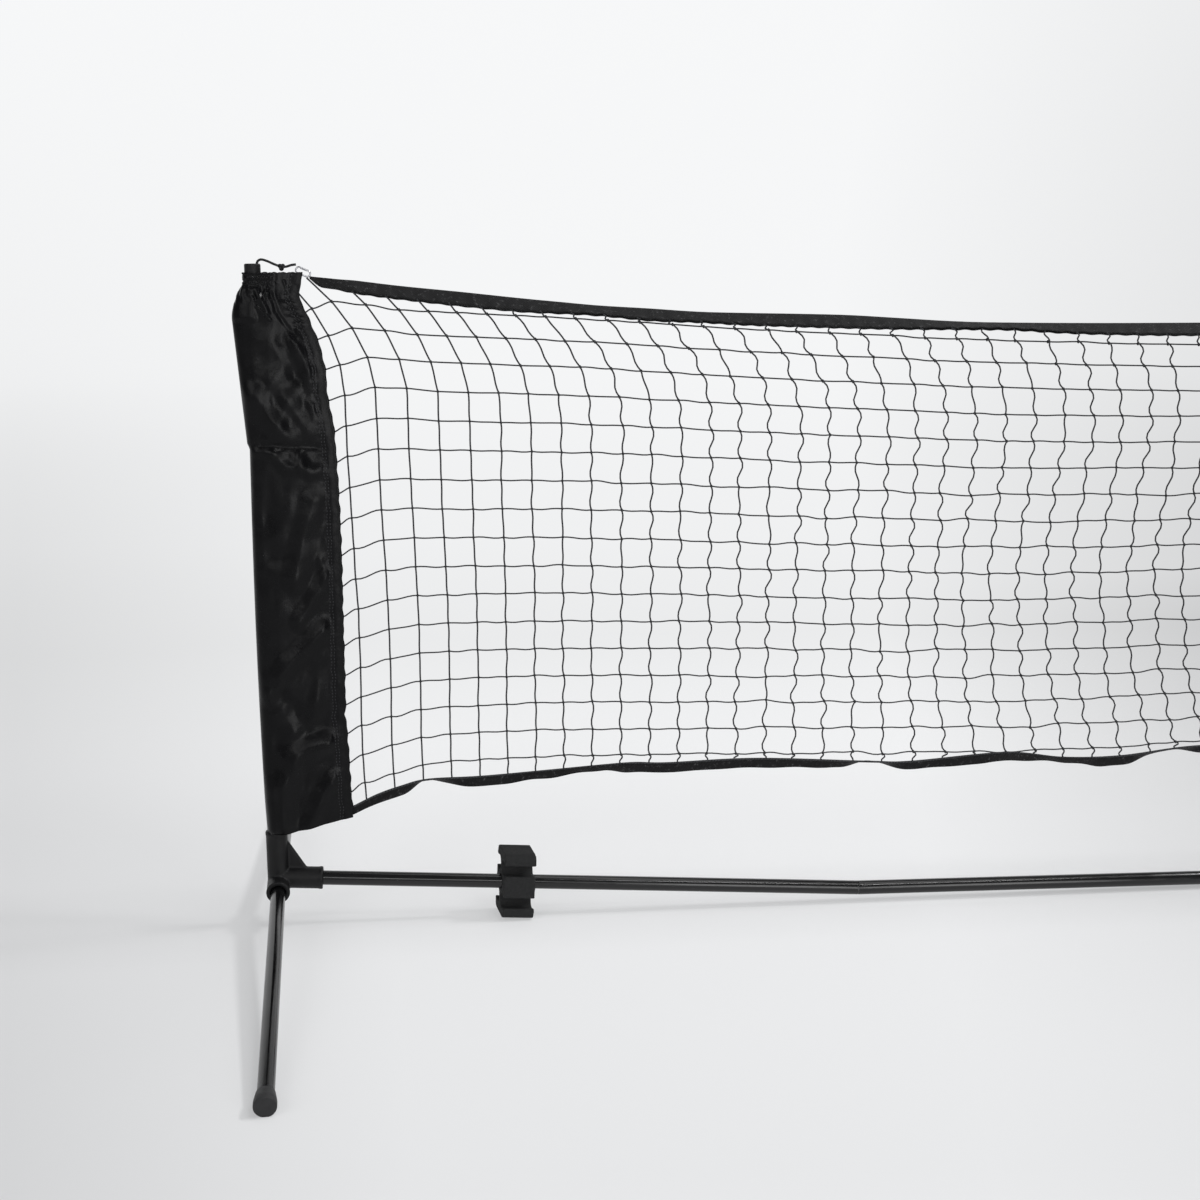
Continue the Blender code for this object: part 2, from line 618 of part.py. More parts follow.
def make_top_tape():
    """Tape folded over the net's head line: a hairpin section carried along the sagging line."""
    wide = TAPE_THICK / 2
    slot = TAPE_SLOT / 2
    high = TAPE_HIGH / 2
    hairpin = [(-wide, -high), (-wide, high - TAPE_ROOF / 2), (-wide + TAPE_ROOF / 2, high),
               (wide - TAPE_ROOF / 2, high), (wide, high - TAPE_ROOF / 2), (wide, -high),
               (slot, -high), (slot, high - TAPE_ROOF), (-slot, high - TAPE_ROOF), (-slot, -high)]
    shape = bpy.data.curves.new("hairpin", "CURVE")
    shape.dimensions = "2D"
    spline = shape.splines.new("POLY")
    spline.points.add(len(hairpin) - 1)
    spline.use_cyclic_u = True
    for point, (x, y) in zip(spline.points, hairpin):
        point.co = (x, y, 0, 1)
    curve = bpy.data.curves.new("top_tape", "CURVE")
    curve.dimensions = "3D"
    curve.twist_mode = "Z_UP"
    curve.bevel_mode = "OBJECT"
    curve.bevel_object = add("hairpin", shape)
    curve.use_fill_caps = True
    route = both_sides(TAPE_TIP, TAPE_POINTS)
    spline = curve.splines.new("POLY")
    spline.points.add(len(route) - 1)
    for point, (side, s) in zip(spline.points, route):
        point.co = (*world(side, s, 0, tape_height(s)), 1)
    add("top_tape", curve, "black_tape")


def make_bottom_tape():
    """Flat ribbon sewn under the foot line by its upper edge, its free edge swinging out and back."""
    bpy.ops.mesh.primitive_grid_add(x_subdivisions=RIBBON_STRIPS, y_subdivisions=1, size=2)
    ribbon = adopt("bottom_tape", "black_tape")
    knots = [net_point(i / NET_COLUMNS, 1) for i in range(NET_COLUMNS // 2 + 1)]
    knot_s = [HALF - abs(knot.x) for knot in knots]
    knot_z = [knot.z for knot in knots]
    first = RIBBON_LINE[0][0]
    for vertex in ribbon.data.vertices:
        side = -1 if vertex.co.x <= 0 else 1
        s = first + (1 - abs(vertex.co.x)) * (HALF - first)
        foot = np.interp(s, knot_s, knot_z)
        slope = (np.interp(s + TWINE_D, knot_s, knot_z) - foot) / TWINE_D
        down = RIBBON_WIDE * (1 - vertex.co.y) / 2
        swing = math.radians(eased(RIBBON_SWING, s))
        z = foot - UNDER_FOOT * math.hypot(1, slope) - down * math.cos(swing)
        vertex.co = world(side, s, -down * math.sin(swing), z)
    split = ribbon.modifiers.new("split", "TRIANGULATE")
    split.quad_method = "FIXED"
    shell = ribbon.modifiers.new("cloth", "SOLIDIFY")
    shell.thickness = RIBBON_THICK
    shell.offset = 0


def net_point(u, v):
    """A place in the net: u across the whole width, v from the head line to the foot line."""
    side = -1 if u <= 0.5 else 1
    across = 1 - abs(2 * u - 1)
    margin = NET_SIDE_ROOM + TWINE_D / 2
    s = SLEEVE_WIDE + across * (HALF - SLEEVE_WIDE)
    for _ in range(4):
        head = tape_height(s) - NET_HEM
        if s < TAPE_TIP:
            head = min(head, UNDER_LINK)
        foot = eased(RIBBON_LINE, s) + UNDER_FOOT
        z = head + (foot - head) * v
        edge = sleeve_edge(z) + margin
        upright = edge + across * (HALF - edge)
        lean = LEAN_MOST * (1 - upright / HALF) * min(1.0, across * LEAN_START)
        lean *= max(0.0, 1 - (head - z) / LEAN_DEPTH) ** LEAN_POWER
        s = max(edge, upright - lean)
    return world(side, s, 0, z)


def make_net():
    """Knotted net, drawn with every second upright and every third row."""
    bpy.ops.mesh.primitive_grid_add(x_subdivisions=NET_COLUMNS, y_subdivisions=NET_BANDS, size=2)
    net = adopt("net", "dark_twine")
    for vertex in net.data.vertices:
        vertex.co = net_point((vertex.co.x + 1) / 2, (1 - vertex.co.y) / 2)
    strings = net.modifiers.new("strings", "WIREFRAME")
    strings.thickness = TWINE_D
    strings.use_boundary = True
    strings.use_even_offset = True
    strings.use_replace = True


def make_fastening(label, side):
    """Tension cord from the plug, its knot with a short tail, and the link to the tape."""
    places = [world(side, s, 0, POST_TOP + up) for s, up in CORD_ROUTE]
    wire(f"tension_cord_{label}", smooth_route(places, CORD_POINTS), CORD_D, "black_cord")
    heading = (places[-1] - places[-2]).normalized()
    knot_at = places[-1] + heading * (KNOT_D / 2 + GAP)
    bpy.ops.mesh.primitive_uv_sphere_add(segments=12, ring_count=8, radius=KNOT_D / 2,
                                         location=knot_at)
    knot = adopt(f"cord_knot_{label}", "black_cord")
    along = world(side, TAIL_END[0], 0, POST_TOP + TAIL_END[1]) - knot_at
    tail = turned(f"cord_tail_{label}", rod_profile(CORD_D / 2, 0, along.length), knot_at, along)
    cut(knot, tail, "UNION")
    reach = LINK_LONG / 2 - LINK_HIGH / 2
    bend = (LINK_HIGH - LINK_WIRE_D) / 2
    oval = arc((reach, 0), bend, -90, 90, 9) + arc((-reach, 0), bend, 90, 270, 9)
    loop = []
    for x, z in oval:
        s = LINK_MIDDLE[0] + x * math.cos(LINK_SLOPE) - z * math.sin(LINK_SLOPE)
        up = LINK_MIDDLE[1] + x * math.sin(LINK_SLOPE) + z * math.cos(LINK_SLOPE)
        loop.append(world(side, s, 0, POST_TOP + up))
    wire(f"snap_link_{label}", loop, LINK_WIRE_D, "bright_link", cyclic=True)


def main():
    for label, side in SIDES.items():
        make_hub(label, side)
        make_feet(label, side)
        make_clip(label, side)
        make_post(label, side)
        make_sleeve(label, side)
        make_fastening(label, side)
    make_crossbar()
    make_top_tape()
    make_bottom_tape()
    make_net()


main()
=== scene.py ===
"""Mini tennis net, three metre class, dressed for its picture. Metres, +Z up.

The net plane is Y = 0. Along the net, s is the distance from a post's axis towards the
middle, so x = side * (HALF - s), with side -1 on the left and +1 on the right.
"""
import math

import bmesh
import bpy
import numpy as np
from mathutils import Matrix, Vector


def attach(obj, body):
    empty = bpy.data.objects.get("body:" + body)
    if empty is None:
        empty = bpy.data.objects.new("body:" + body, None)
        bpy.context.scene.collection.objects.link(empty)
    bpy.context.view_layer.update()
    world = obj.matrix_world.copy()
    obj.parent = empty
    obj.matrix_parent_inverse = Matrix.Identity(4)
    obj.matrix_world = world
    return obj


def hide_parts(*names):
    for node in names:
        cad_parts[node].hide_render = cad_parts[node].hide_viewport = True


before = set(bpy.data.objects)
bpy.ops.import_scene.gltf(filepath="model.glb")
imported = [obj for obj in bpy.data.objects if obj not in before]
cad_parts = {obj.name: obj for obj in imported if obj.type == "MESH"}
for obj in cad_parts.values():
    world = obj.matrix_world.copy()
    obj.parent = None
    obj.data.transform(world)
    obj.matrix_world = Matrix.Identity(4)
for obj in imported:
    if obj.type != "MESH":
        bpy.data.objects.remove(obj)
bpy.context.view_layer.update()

# Frame
HALF = 1.56
GAP = 0.0003
TUBE_R = 0.0095
TUBE_WALL = 0.0011
TUBE_RIM = 0.0004
POST_TOP = 0.852
HUB_HEIGHT = 0.0667
HUB_RIM = 0.131
SEAM_S = 0.785
SEAM_HEIGHT = 0.0193
MIDDLE_HEIGHT = 0.0108
SEAM_GAP = 0.0008
ARM_SEAT = 0.0138
POST_SEAT = 0.0833
FOOT_SEAT = 0.0063
FOOT_HEIGHT = 0.0585
FOOT_REACH = 0.5105
FOOT_TURN = math.radians(2.8)
CAP_R = 0.0127
CAP_MOUTH_R = 0.0107
CAP_LONG = 0.024
CAP_BAND = 0.009
CAP_FACE = 0.003
CAP_FLAT = 0.001
CAP_EASE = 0.0016
TURNED_SIDES = 64

# Sleeve
CLOTH = 0.001
SLEEVE_TOP = 0.8535
SLEEVE_LOW = 0.1316
SLEEVE_ROUND = 0.014
SLEEVE_SEAM = 0.0016
SLEEVE_GATHER = 0.0116
BAND_LOW = 0.8405
BULGE_AT = 0.7975
CREASE_AT = 0.64
STITCH_ROWS = (0.0125, 0.0165)
STITCH_PITCH = 0.0042
PANEL_STEPS = 60
BACK_STEPS = 20
LOWER_ROWS = 180
BAND_ROWS = 90
BAND_SHARE = 0.905

# Net
TWINE_R = 0.00112
UPRIGHTS = 76
NET_ROWS = 17
FIRST_UPRIGHT = 0.108
ROW_END = 0.096
KNOT_REACH = 0.0022
KNOT_GIRTH = (0.0006, 0.00155, 0.0018, 0.00155, 0.0006)

# Tapes
TAPE_TIP = 0.069
TAPE_WIDE = 0.0222
TAPE_CLOTH = 0.0011
TAPE_HALF = 0.002
RIBBON_WIDE = 0.012
RIBBON_THICK = 0.0012

# Tension cord and link, as distances from the post's axis and heights above its top
CORD_R = 0.0015
CORD_KNOT = 0.00115
TAIL_END = (0.053, 0.0112)
LINK_MIDDLE = (0.0612, 0.0022)
LINK_SLOPE = math.radians(-24)
LINK_REACH = 0.00525
LINK_BEND = 0.00385
LINK_R = 0.00115
GATE_R = 0.0008

# Strength of the room's light on the object, and as the lens sees it
ROOM_LIGHT = 0.2
ROOM_SEEN = 0.8
# Lamps: place, aim, width and height, radiance
LAMPS = {
    "key": ((3.7, -0.1, 6.3), (-1.1, 0.0, 0.1), (1.8, 1.0), 44.0),
    "strip": ((0.1, -1.4, 3.1), (-0.9, 0.0, 0.05), (1.4, 0.12), 26.0),
    "front_panel": ((0.1, -3.0, 0.8), (-1.4, 0.0, 0.4), (1.3, 1.5), 3.8),
    "high_panel": ((-1.5, -3.0, 1.35), (-1.5, 0.0, 0.4), (1.2, 0.7), 3.4),
    "left_panel": ((-3.6, -2.6, 2.2), (-1.2, 0.1, 0.4), (2.0, 2.0), 2.2),
    "top": ((-0.3, 0.3, 3.9), (-0.6, 0.1, 0.0), (3.0, 1.6), 1.7),
}

SIDES = {"left": -1, "right": 1}
ENDS = {"front": -1, "back": 1}
RANDOM = np.random.default_rng(11)
FINISH = {}
X_AXIS, Y_AXIS = np.eye(3)[:2]


def metres(table):
    """A table of millimetres, carried to metres."""
    return tuple(metres(entry) if isinstance(entry, tuple) else entry / 1000 for entry in table)


# The seam with the net as (height, distance from the post's axis): dent, drawn top, hem flap
SEAM_LINE = metres((
    (131.6, 100.3), (146.4, 100), (170.1, 98.9), (225.3, 97.4), (263, 95.5), (277.2, 93.7),
    (291.5, 95.3), (413.8, 96), (492.5, 96.6), (570, 95.8), (621, 94), (646.3, 93), (671.5, 90.6),
    (696.6, 85.8), (724, 84.7), (746.4, 81.8), (771.1, 75.5), (795.7, 66.2), (809.1, 60.3),
    (820.1, 56.6), (832.2, 55.5), (841.9, 57.6), (849.2, 59.8), (853.5, 60)))
# Folds of the front panel: its line of (s, height), half width, height off the cloth
FRONT_FOLDS = metres((
    (((83, 256), (34, 239), (11.5, 189), (10, 140)), 21, 7.8),
    (((87, 209), (63.7, 183), (45, 139)), 17, 6.4),
    (((71.4, 404.5), (26, 359), (-3, 319.7)), 19, 6.2),
    (((78, 395), (63, 352), (57, 291)), 14, 2.6),
    (((6, 330), (30, 300), (42, 270)), 13, -2.4),
    (((78, 475), (56, 440), (42, 415)), 15, 4.2),
    (((65, 570), (50, 520), (38, 470)), 20, 4.8),
    (((5, 590), (10, 500)), 19, -1.8),
    (((70, 495), (79, 455)), 8, 1.8),
    (((50, 772), (62, 742), (70, 710)), 13, 4),
    (((33, 770), (48, 725)), 11, -2.2),
    (((-2, 705), (16, 676), (34, 656)), 19, 5.2),
    (((35, 700), (60, 660)), 17, 3),
    (((64, 695), (80, 660)), 10, 2.4),
    (((-15.9, 643.9), (92.9, 636.2)), 5, -4),
    (((-15.9, 635), (30, 632)), 7, 1.6),
    (((18, 630), (33, 613), (48, 612)), 11, 3.8),
    (((48, 624), (62, 606), (84, 610)), 12, 4),
    (((42.5, 619.2), (45.7, 636.8)), 5.5, -2),
    (((20.3, 832.4), (5.2, 820.3)), 4.8, 2),
    (((4.5, 813), (20, 797)), 3, 2.8),
    (((3, 833), (12, 818), (17, 804)), 5, 2.4),
    (((-11, 833), (-1, 800)), 7.5, 2.6),
    (((-15, 818), (-8, 780)), 8, 1.8),
    (((37.5, 844), (41.5, 829)), 2.4, 2.2),
    (((39, 826), (43, 819)), 2.2, 1.8),
    (((50, 850), (50, 834)), 2.8, 1.2),
))
REAR_FOLDS = metres((
    (((70, 300), (12, 190)), 17, 3.4),
    (((80, 230), (42, 150)), 15, 3),
    (((20, 760), (62, 690)), 14, 3.4),
    (((-15.9, 643.9), (92.9, 636.2)), 4.5, -2.6),
    (((-15.9, 634), (92.9, 626)), 7, 1.8),
    (((30, 630), (60, 610)), 9, 2.4),
    (((15, 848), (26, 805)), 4.5, -3),
    (((40, 842), (50, 815)), 3.3, 1.4),
    (((60, 530), (20, 430)), 18, 3),
    (((75, 430), (50, 360)), 14, 2.4),
))
# Where the cloth drops beside the post, as (height, distance from the post's axis)
DROP_LINE = metres((
    (700, 80), (719.5, 72.5), (736, 69), (784, 37.2), (806.5, 22.5), (837.5, 18), (860, 17.5)))
# The top tape's upper and lower edge as seen, and the ribbon's upper edge, as (s, height)
TAPE_UPPER = metres((
    (69, 848.8), (72, 848.3), (112.1, 844), (179.3, 835.8), (253.3, 828.5), (327.9, 820.3),
    (378, 815.1), (428.4, 810.2), (491.8, 806.5), (555.6, 801.9), (619.8, 800.2), (684.4, 799),
    (749.4, 797.1), (814.9, 792.8), (880.9, 788.3), (947.2, 785.9), (1080.9, 784.9),
    (1202.6, 784.9), (1400, 785.1), (1560, 785.1)))
TAPE_LOWER = metres((
    (69, 846.6), (81.2, 836.3), (93.4, 834.1), (129.9, 828.2), (178.9, 821.5), (253, 812.8),
    (327.7, 805.5), (377.9, 803.2), (428.4, 800.3), (491.9, 793.7), (555.8, 791.2),
    (620.1, 787.3), (750, 782.6), (815.5, 781.3), (947.7, 780), (1014.6, 776.1), (1081.9, 773.1),
    (1203.9, 770.7), (1400, 770.3), (1560, 770.8)))
RIBBON_LINE = metres((
    (94.5, 157), (106, 162.5), (133.9, 175.8), (165, 186.2), (200, 194.3), (270, 196),
    (350, 200.9), (431, 206.4), (475, 208.4), (520, 206.6), (640, 208.8), (794, 199.7),
    (853, 197.8), (985, 206), (1068, 196.5), (1150, 196.2), (1262, 207), (1400, 202),
    (1560, 203)))
# How far the ribbon's free edge swings forward, as (s in metres, degrees)
RIBBON_SWING = (
    (0.0945, -25), (0.135, 0), (0.165, 0), (0.2, -78), (0.262, 10), (0.35, 58), (0.431, 82),
    (0.475, 10), (0.64, 0), (0.755, -25), (0.794, -86), (0.85, -22), (0.916, 0), (0.968, 44),
    (1.068, 80), (1.15, 0), (1.211, -72), (1.29, -20), (1.4, 0), (1.48, 60), (1.56, 0))
# Height of the first and the last row at each upright's stand
FIRST_ROW = metres((
    (96, 804.2), (108, 809), (146.7, 817.6), (185.4, 813.3), (224.2, 807.5), (430, 797.7),
    (660, 781.5), (920, 767.1), (1050, 762.3), (1240, 757.1), (1560, 756)))
LAST_ROW = metres((
    (96, 180.7), (108, 193), (146.7, 204.6), (185.4, 214.7), (224.2, 219), (370, 222.6),
    (900, 210.6), (980, 208.5), (1120, 210.6), (1260, 216.3), (1560, 217)))
# Drift of the far and the near uprights, as (height, distance towards the middle)
DRIFT = metres((
    (190, 33), (213, 31), (250, 21), (318, 3), (384, -4), (460, -12), (531, -7), (602, 0),
    (671, 6), (766, 9), (850, 10)))
NEAR_DRIFT = metres((
    (150, 13), (180, 10), (240, 7.5), (400, 8), (520, 4), (650, 0), (850, 0)))
# How far the tape draws an upright's head to the post, and the head's height, by its stand
HEAD_DRAWN = metres((
    (108, 72), (146, 84), (240, 84), (430, 80), (660, 66), (930, 51), (1200, 43), (1560, 0)))
HEAD_HEIGHT = metres(((108, 850), (200, 848), (430, 818), (700, 800), (930, 787), (1560, 786)))
# The tension cord's way, as (s, height above the post's top)
CORD_ROUTE = metres((
    (5.5, 6.8), (5.6, 12.2), (7.2, 15.6), (11.2, 17.2), (18, 15.4), (25, 12.2), (31.4, 9.6)))
# Glow of the paper as (metres along it from under the net, level)
PAPER_GLOW = (
    (-6, 0.86), (-1.5, 0.8), (-0.7, 0.76), (-0.45, 0.83), (-0.2, 0.89), (0.2, 0.98), (0.6, 1),
    (0.8, 0.98), (1.56, 0.85), (2.8, 0.9), (6, 0.94), (11.5, 0.975))


def add(name, data):
    """An object of a mesh, camera or lamp, linked to the scene."""
    piece = bpy.data.objects.new(name, data)
    bpy.context.scene.collection.objects.link(piece)
    return piece


def make_camera():
    """The camera stands before the left post and looks a little down and to the right."""
    data = bpy.data.cameras.new("camera")
    data.lens = 51.0
    data.sensor_width = 36.0
    camera = add("camera", data)
    camera.location = (-1.352, -2.155, 0.909)
    camera.rotation_euler = (math.radians(90 - 12.4), 0, math.radians(-5.84))
    bpy.context.scene.camera = camera


def laid(*parts):
    """Arrays spread to one shape and stacked as the last axis."""
    return np.stack(np.broadcast_arrays(*parts), -1)


def place(side, s, y, z):
    """Points (..., xyz) from arrays of s, y and z."""
    return laid(side * (HALF - s), y, z)


def unit(vectors):
    """Vectors (..., xyz) divided by their lengths."""
    return vectors / np.linalg.norm(vectors, axis=-1, keepdims=True)


def run_lengths(lines):
    """Distance gone along lines (..., step, coordinates) at each of their points."""
    steps = np.linalg.norm(np.diff(lines, axis=-2), axis=-1)
    return np.cumsum(np.insert(steps, 0, 0, axis=-1), axis=-1)


def smooth(t):
    """0 to 1 with level ends."""
    t = np.clip(t, 0, 1)
    return t * t * (3 - 2 * t)


def bell(x, middle, wide):
    """1 at the middle, falling away to both sides."""
    return np.exp(-((x - middle) / wide) ** 2)


def turns(x, length):
    """The angle at x of a wave of a given length."""
    return x * 2 * np.pi / length


def read(stations, s):
    """A value read along straight lines between stations of (s, value)."""
    return np.interp(s, *np.array(stations).T)


def eased(stations, s):
    """A value read between stations of (s, value), level at each station."""
    at, value = np.array(stations, float).T
    s = np.clip(s, at[0], at[-1])
    i = np.clip(np.searchsorted(at, s, side="right") - 1, 0, len(at) - 2)
    return value[i] + (value[i + 1] - value[i]) * smooth((s - at[i]) / (at[i + 1] - at[i]))


def flowing(points, count, between=16):
    """Evenly spaced points on a Catmull-Rom curve through a route's own points."""
    knots = np.array(points, float)
    knots = np.vstack([2 * knots[0] - knots[1], knots, 2 * knots[-1] - knots[-2]])
    t = np.linspace(0, 1, between, endpoint=False)[:, None]
    a, b, c, d = (knots[i:len(knots) - 3 + i, None] for i in range(4))
    fine = 0.5 * (2 * b + (c - a) * t + (2 * a - 5 * b + 4 * c - d) * t ** 2
                  + (3 * b - a - 3 * c + d) * t ** 3)
    fine = np.vstack([fine.reshape(-1, knots.shape[1]), knots[-2]])
    gone = run_lengths(fine)
    wanted = np.linspace(0, gone[-1], count)
    return np.stack([np.interp(wanted, gone, column) for column in fine.T], -1)


def flowing_value(stations, s):
    """A value read from a smooth curve through stations of (s, value)."""
    return read(flowing(stations, 1200, between=80), s)


def skin(name, points, laps, ring=True, ends=True, loop=False):
    """Surfaces through points (piece, row, place, xyz), with (u, v) laps in metres.

    ring joins each row's last place to its first, ends closes the first and last rows
    with a face, and loop joins the last row to the first. Faces look along the cross
    product of the place direction and the row direction. One piece may leave out the
    first axis.
    """
    rows, places = points.shape[-3:-1]
    index = np.arange(points.size // 3).reshape(-1, rows, places)
    if ring:
        index = np.concatenate([index, index[:, :, :1]], axis=2)
    if loop:
        index = np.hstack([index, index[:, :1]])
    laps = np.broadcast_to(laps, (*index.shape, 2))
    low, high = slice(0, -1), slice(1, None)
    corners = ((low, low), (low, high), (high, high), (high, low))
    loops = [np.stack([index[:, r, p] for r, p in corners], -1).ravel()]
    lap_list = [np.stack([laps[:, r, p] for r, p in corners], -2).reshape(-1, 2)]
    sizes = [np.full(loops[0].size // 4, 4)]
    if ends and not loop:
        for row, order in ((0, slice(None, None, -1)), (-1, slice(None))):
            caps = index[:, row, :places][:, order]
            loops.append(caps.ravel())
            lap_list.append(laps[:, row, :places][:, order].reshape(-1, 2))
            sizes.append(np.full(len(caps), places))
    corner_index, sizes = np.concatenate(loops), np.concatenate(sizes)
    mesh = bpy.data.meshes.new(name)
    mesh.vertices.add(points.size // 3)
    mesh.vertices.foreach_set("co", points.astype(np.float32).ravel())
    mesh.loops.add(len(corner_index))
    mesh.loops.foreach_set("vertex_index", corner_index.astype(np.int32))
    mesh.polygons.add(len(sizes))
    mesh.polygons.foreach_set("loop_start", (np.cumsum(sizes) - sizes).astype(np.int32))
    mesh.update(calc_edges=True)
    layer = mesh.uv_layers.new(name="laps")
    layer.uv.foreach_set("vector", np.concatenate(lap_list).astype(np.float32).ravel())
    mesh.validate()
    mesh.shade_smooth()
    return add(name, mesh)


def rings(lines, ahead, radius, sides):
    """Rings (..., step, place, xyz) of a round strand at each point of lines.

    A ring's first direction is +Y less its share along the strand, and its second is the
    strand's direction crossed with the first.
    """
    ahead = unit(ahead)
    first = unit(Y_AXIS - ahead * ahead[..., 1:2])
    second = np.cross(ahead, first)
    turn = np.linspace(0, 2 * np.pi, sides, endpoint=False)[:, None]
    return lines[..., None, :] + np.asarray(radius)[..., None, None] * (
        np.cos(turn) * first[..., None, :] + np.sin(turn) * second[..., None, :])


def strands(name, lines, radius, sides):
    """Round strands along lines (piece, step, xyz)."""
    laps = laid(np.linspace(0, 1, sides + 1), run_lengths(lines)[..., None])
    return skin(name, rings(lines, np.gradient(lines, axis=-2), radius, sides), laps)


def filleted(profile, radius, steps=5, closed=False):
    """A profile whose corners are rounded by quadratic arcs that start radius before each."""
    profile = np.array(profile, float)
    t = np.linspace(0, 1, steps)[:, None]
    out = []
    for i, corner in enumerate(profile):
        if not closed and i in (0, len(profile) - 1):
            out.append(corner)
            continue
        before = profile[i - 1] - corner
        after = profile[(i + 1) % len(profile)] - corner
        reach = min(radius, np.linalg.norm(before) * 0.45, np.linalg.norm(after) * 0.45)
        start, end = corner + unit(before) * reach, corner + unit(after) * reach
        out.append(start * (1 - t) ** 2 + 2 * corner * t * (1 - t) + end * t ** 2)
    return np.vstack(out)


def merge_doubled(mesh, distance):
    shape = bmesh.new()
    shape.from_mesh(mesh)
    bmesh.ops.remove_doubles(shape, verts=shape.verts, dist=distance)
    shape.to_mesh(mesh)
    shape.free()


def revolved(name, profile, at, along, closed=False):
    """A profile of (radius, height) carried round an axis: up its outer side, down its inner.

    Its doubled points are merged, and each hard edge keeps a sharp shade.
    """
    axis = np.array(Vector(along).normalized())
    first = unit(np.cross(Y_AXIS if abs(axis[1]) < 0.9 else X_AXIS, axis))
    turn = np.linspace(0, 2 * np.pi, TURNED_SIDES, endpoint=False)[:, None]
    spoke = np.cos(turn) * first + np.sin(turn) * np.cross(axis, first)
    points = np.array(at) + profile[:, None, :1] * spoke + profile[:, None, 1:] * axis
    far = run_lengths(np.vstack([profile, profile[:1]]) if closed else profile)
    lap = np.linspace(0, 2 * np.pi * profile[:, 0].max(), TURNED_SIDES + 1)
    piece = skin(name, points, laid(lap, far[:, None]), ends=False, loop=closed)
    merge_doubled(piece.data, 0.000002)
    piece.data.set_sharp_from_angle(angle=math.radians(50))
    return piece


def bar_point(side, s):
    """A point of the crossbar's axis, which slopes to the seam and less to the middle."""
    height = np.interp(s, [0, SEAM_S, HALF], [HUB_HEIGHT, SEAM_HEIGHT, MIDDLE_HEIGHT])
    return Vector(place(side, s, 0.0, height))


def foot_line(side, end):
    """The foot's axis: its start under the post, its direction, and its length."""
    inner = Vector(place(side, 0.0, 0.0, FOOT_HEIGHT))
    outer = Vector(place(side, -end * FOOT_REACH * math.tan(FOOT_TURN), end * FOOT_REACH,
                         CAP_R - CAP_FLAT))
    return inner, (outer - inner).normalized(), (outer - inner).length


class Value:
    """One output of a shader node. Arithmetic with it adds a Math node to the same tree."""

    def __init__(self, output):
        self.output = output

    def pick(self, name):
        """Another output of the same node."""
        return Value(self.output.node.outputs[name])

    def math(self, operation, other, swapped=False):
        a, b = (other, self) if swapped else (self, other)
        return knit(self.output.id_data, "Math", settings={"operation": operation},
                    i0=a, i1=b)

    def __add__(self, other):
        return self.math("ADD", other)

    def __sub__(self, other):
        return self.math("SUBTRACT", other)

    def __rsub__(self, other):
        return self.math("SUBTRACT", other, swapped=True)

    def __mul__(self, other):
        return self.math("MULTIPLY", other)

    def __truediv__(self, other):
        return self.math("DIVIDE", other)

    def spread(self, low, high, out_low, out_high):
        """The value carried from one range to another."""
        return knit(self.output.id_data, "MapRange", Value=self, From_Min=low,
                    From_Max=high, To_Min=out_low, To_Max=out_high)


def knit(tree, kind, output=0, settings=(), **inputs):
    """Add a shader node and give one of its outputs; an input takes a constant or a Value.

    An input is called by its name, with _ for a space, or by i and its number.
    """
    node = tree.nodes.new("ShaderNode" + kind)
    for key, value in dict(settings).items():
        setattr(node, key, value)
    for key, value in inputs.items():
        socket = node.inputs[int(key[1:]) if key[1:].isdigit() else key.replace("_", " ")]
        if isinstance(value, Value):
            tree.links.new(value.output, socket)
        else:
            socket.default_value = value
    return Value(node.outputs[output])


class Finish:
    """A material whose grain lies on the object, or along the mesh's laps in metres."""

    def __init__(self, name, colour, rough, metal=0.0, laps=False, scale=(1, 1, 1), **sockets):
        self.material = bpy.data.materials.new(name)
        self.material.use_nodes = True
        self.tree = self.material.node_tree
        self.shader = self.tree.nodes["Principled BSDF"]
        sockets.update(Base_Color=(*colour, 1.0), Roughness=rough, Metallic=metal)
        for socket, value in sockets.items():
            self.shader.inputs[socket.replace("_", " ")].default_value = value
        self.where = self.coords(laps, scale)

    def coords(self, laps=False, scale=(1, 1, 1)):
        source = knit(self.tree, "UVMap", "UV", {"uv_map": "laps"}) if laps else knit(
            self.tree, "TexCoord", "Object")
        return knit(self.tree, "Mapping", Vector=source, Scale=scale)

    def noise(self, scale, detail, rough=0.5, where=None):
        return knit(self.tree, "TexNoise", "Fac", Vector=where or self.where,
                    Scale=scale, Detail=detail, Roughness=rough)

    def waves(self, scale, direction="X"):
        return knit(self.tree, "TexWave", "Fac", {"bands_direction": direction},
                    Vector=self.where, Scale=scale)

    def drive(self, socket, value):
        self.tree.links.new(value.output, self.shader.inputs[socket])

    def roughen(self, noise, smoothest, roughest, low=0.3, high=0.7):
        self.drive("Roughness", noise.spread(low, high, smoothest, roughest))

    def tint(self, value, dark, light):
        """Base colour between two colours by a value from 0 to 1."""
        ramp = knit(self.tree, "ValToRGB", Fac=value)
        for stop, colour in zip(ramp.output.node.color_ramp.elements, (dark, light)):
            stop.color = (*colour, 1)
        self.drive("Base Color", ramp)

    def bump(self, *layers):
        """Layers of (height, distance in metres), stacked into the shader's normal."""
        below = {}
        for height, distance in layers:
            below["Normal"] = knit(self.tree, "Bump", Height=height,
                                   Distance=distance, Strength=1.0, **below)
        self.drive("Normal", below["Normal"])


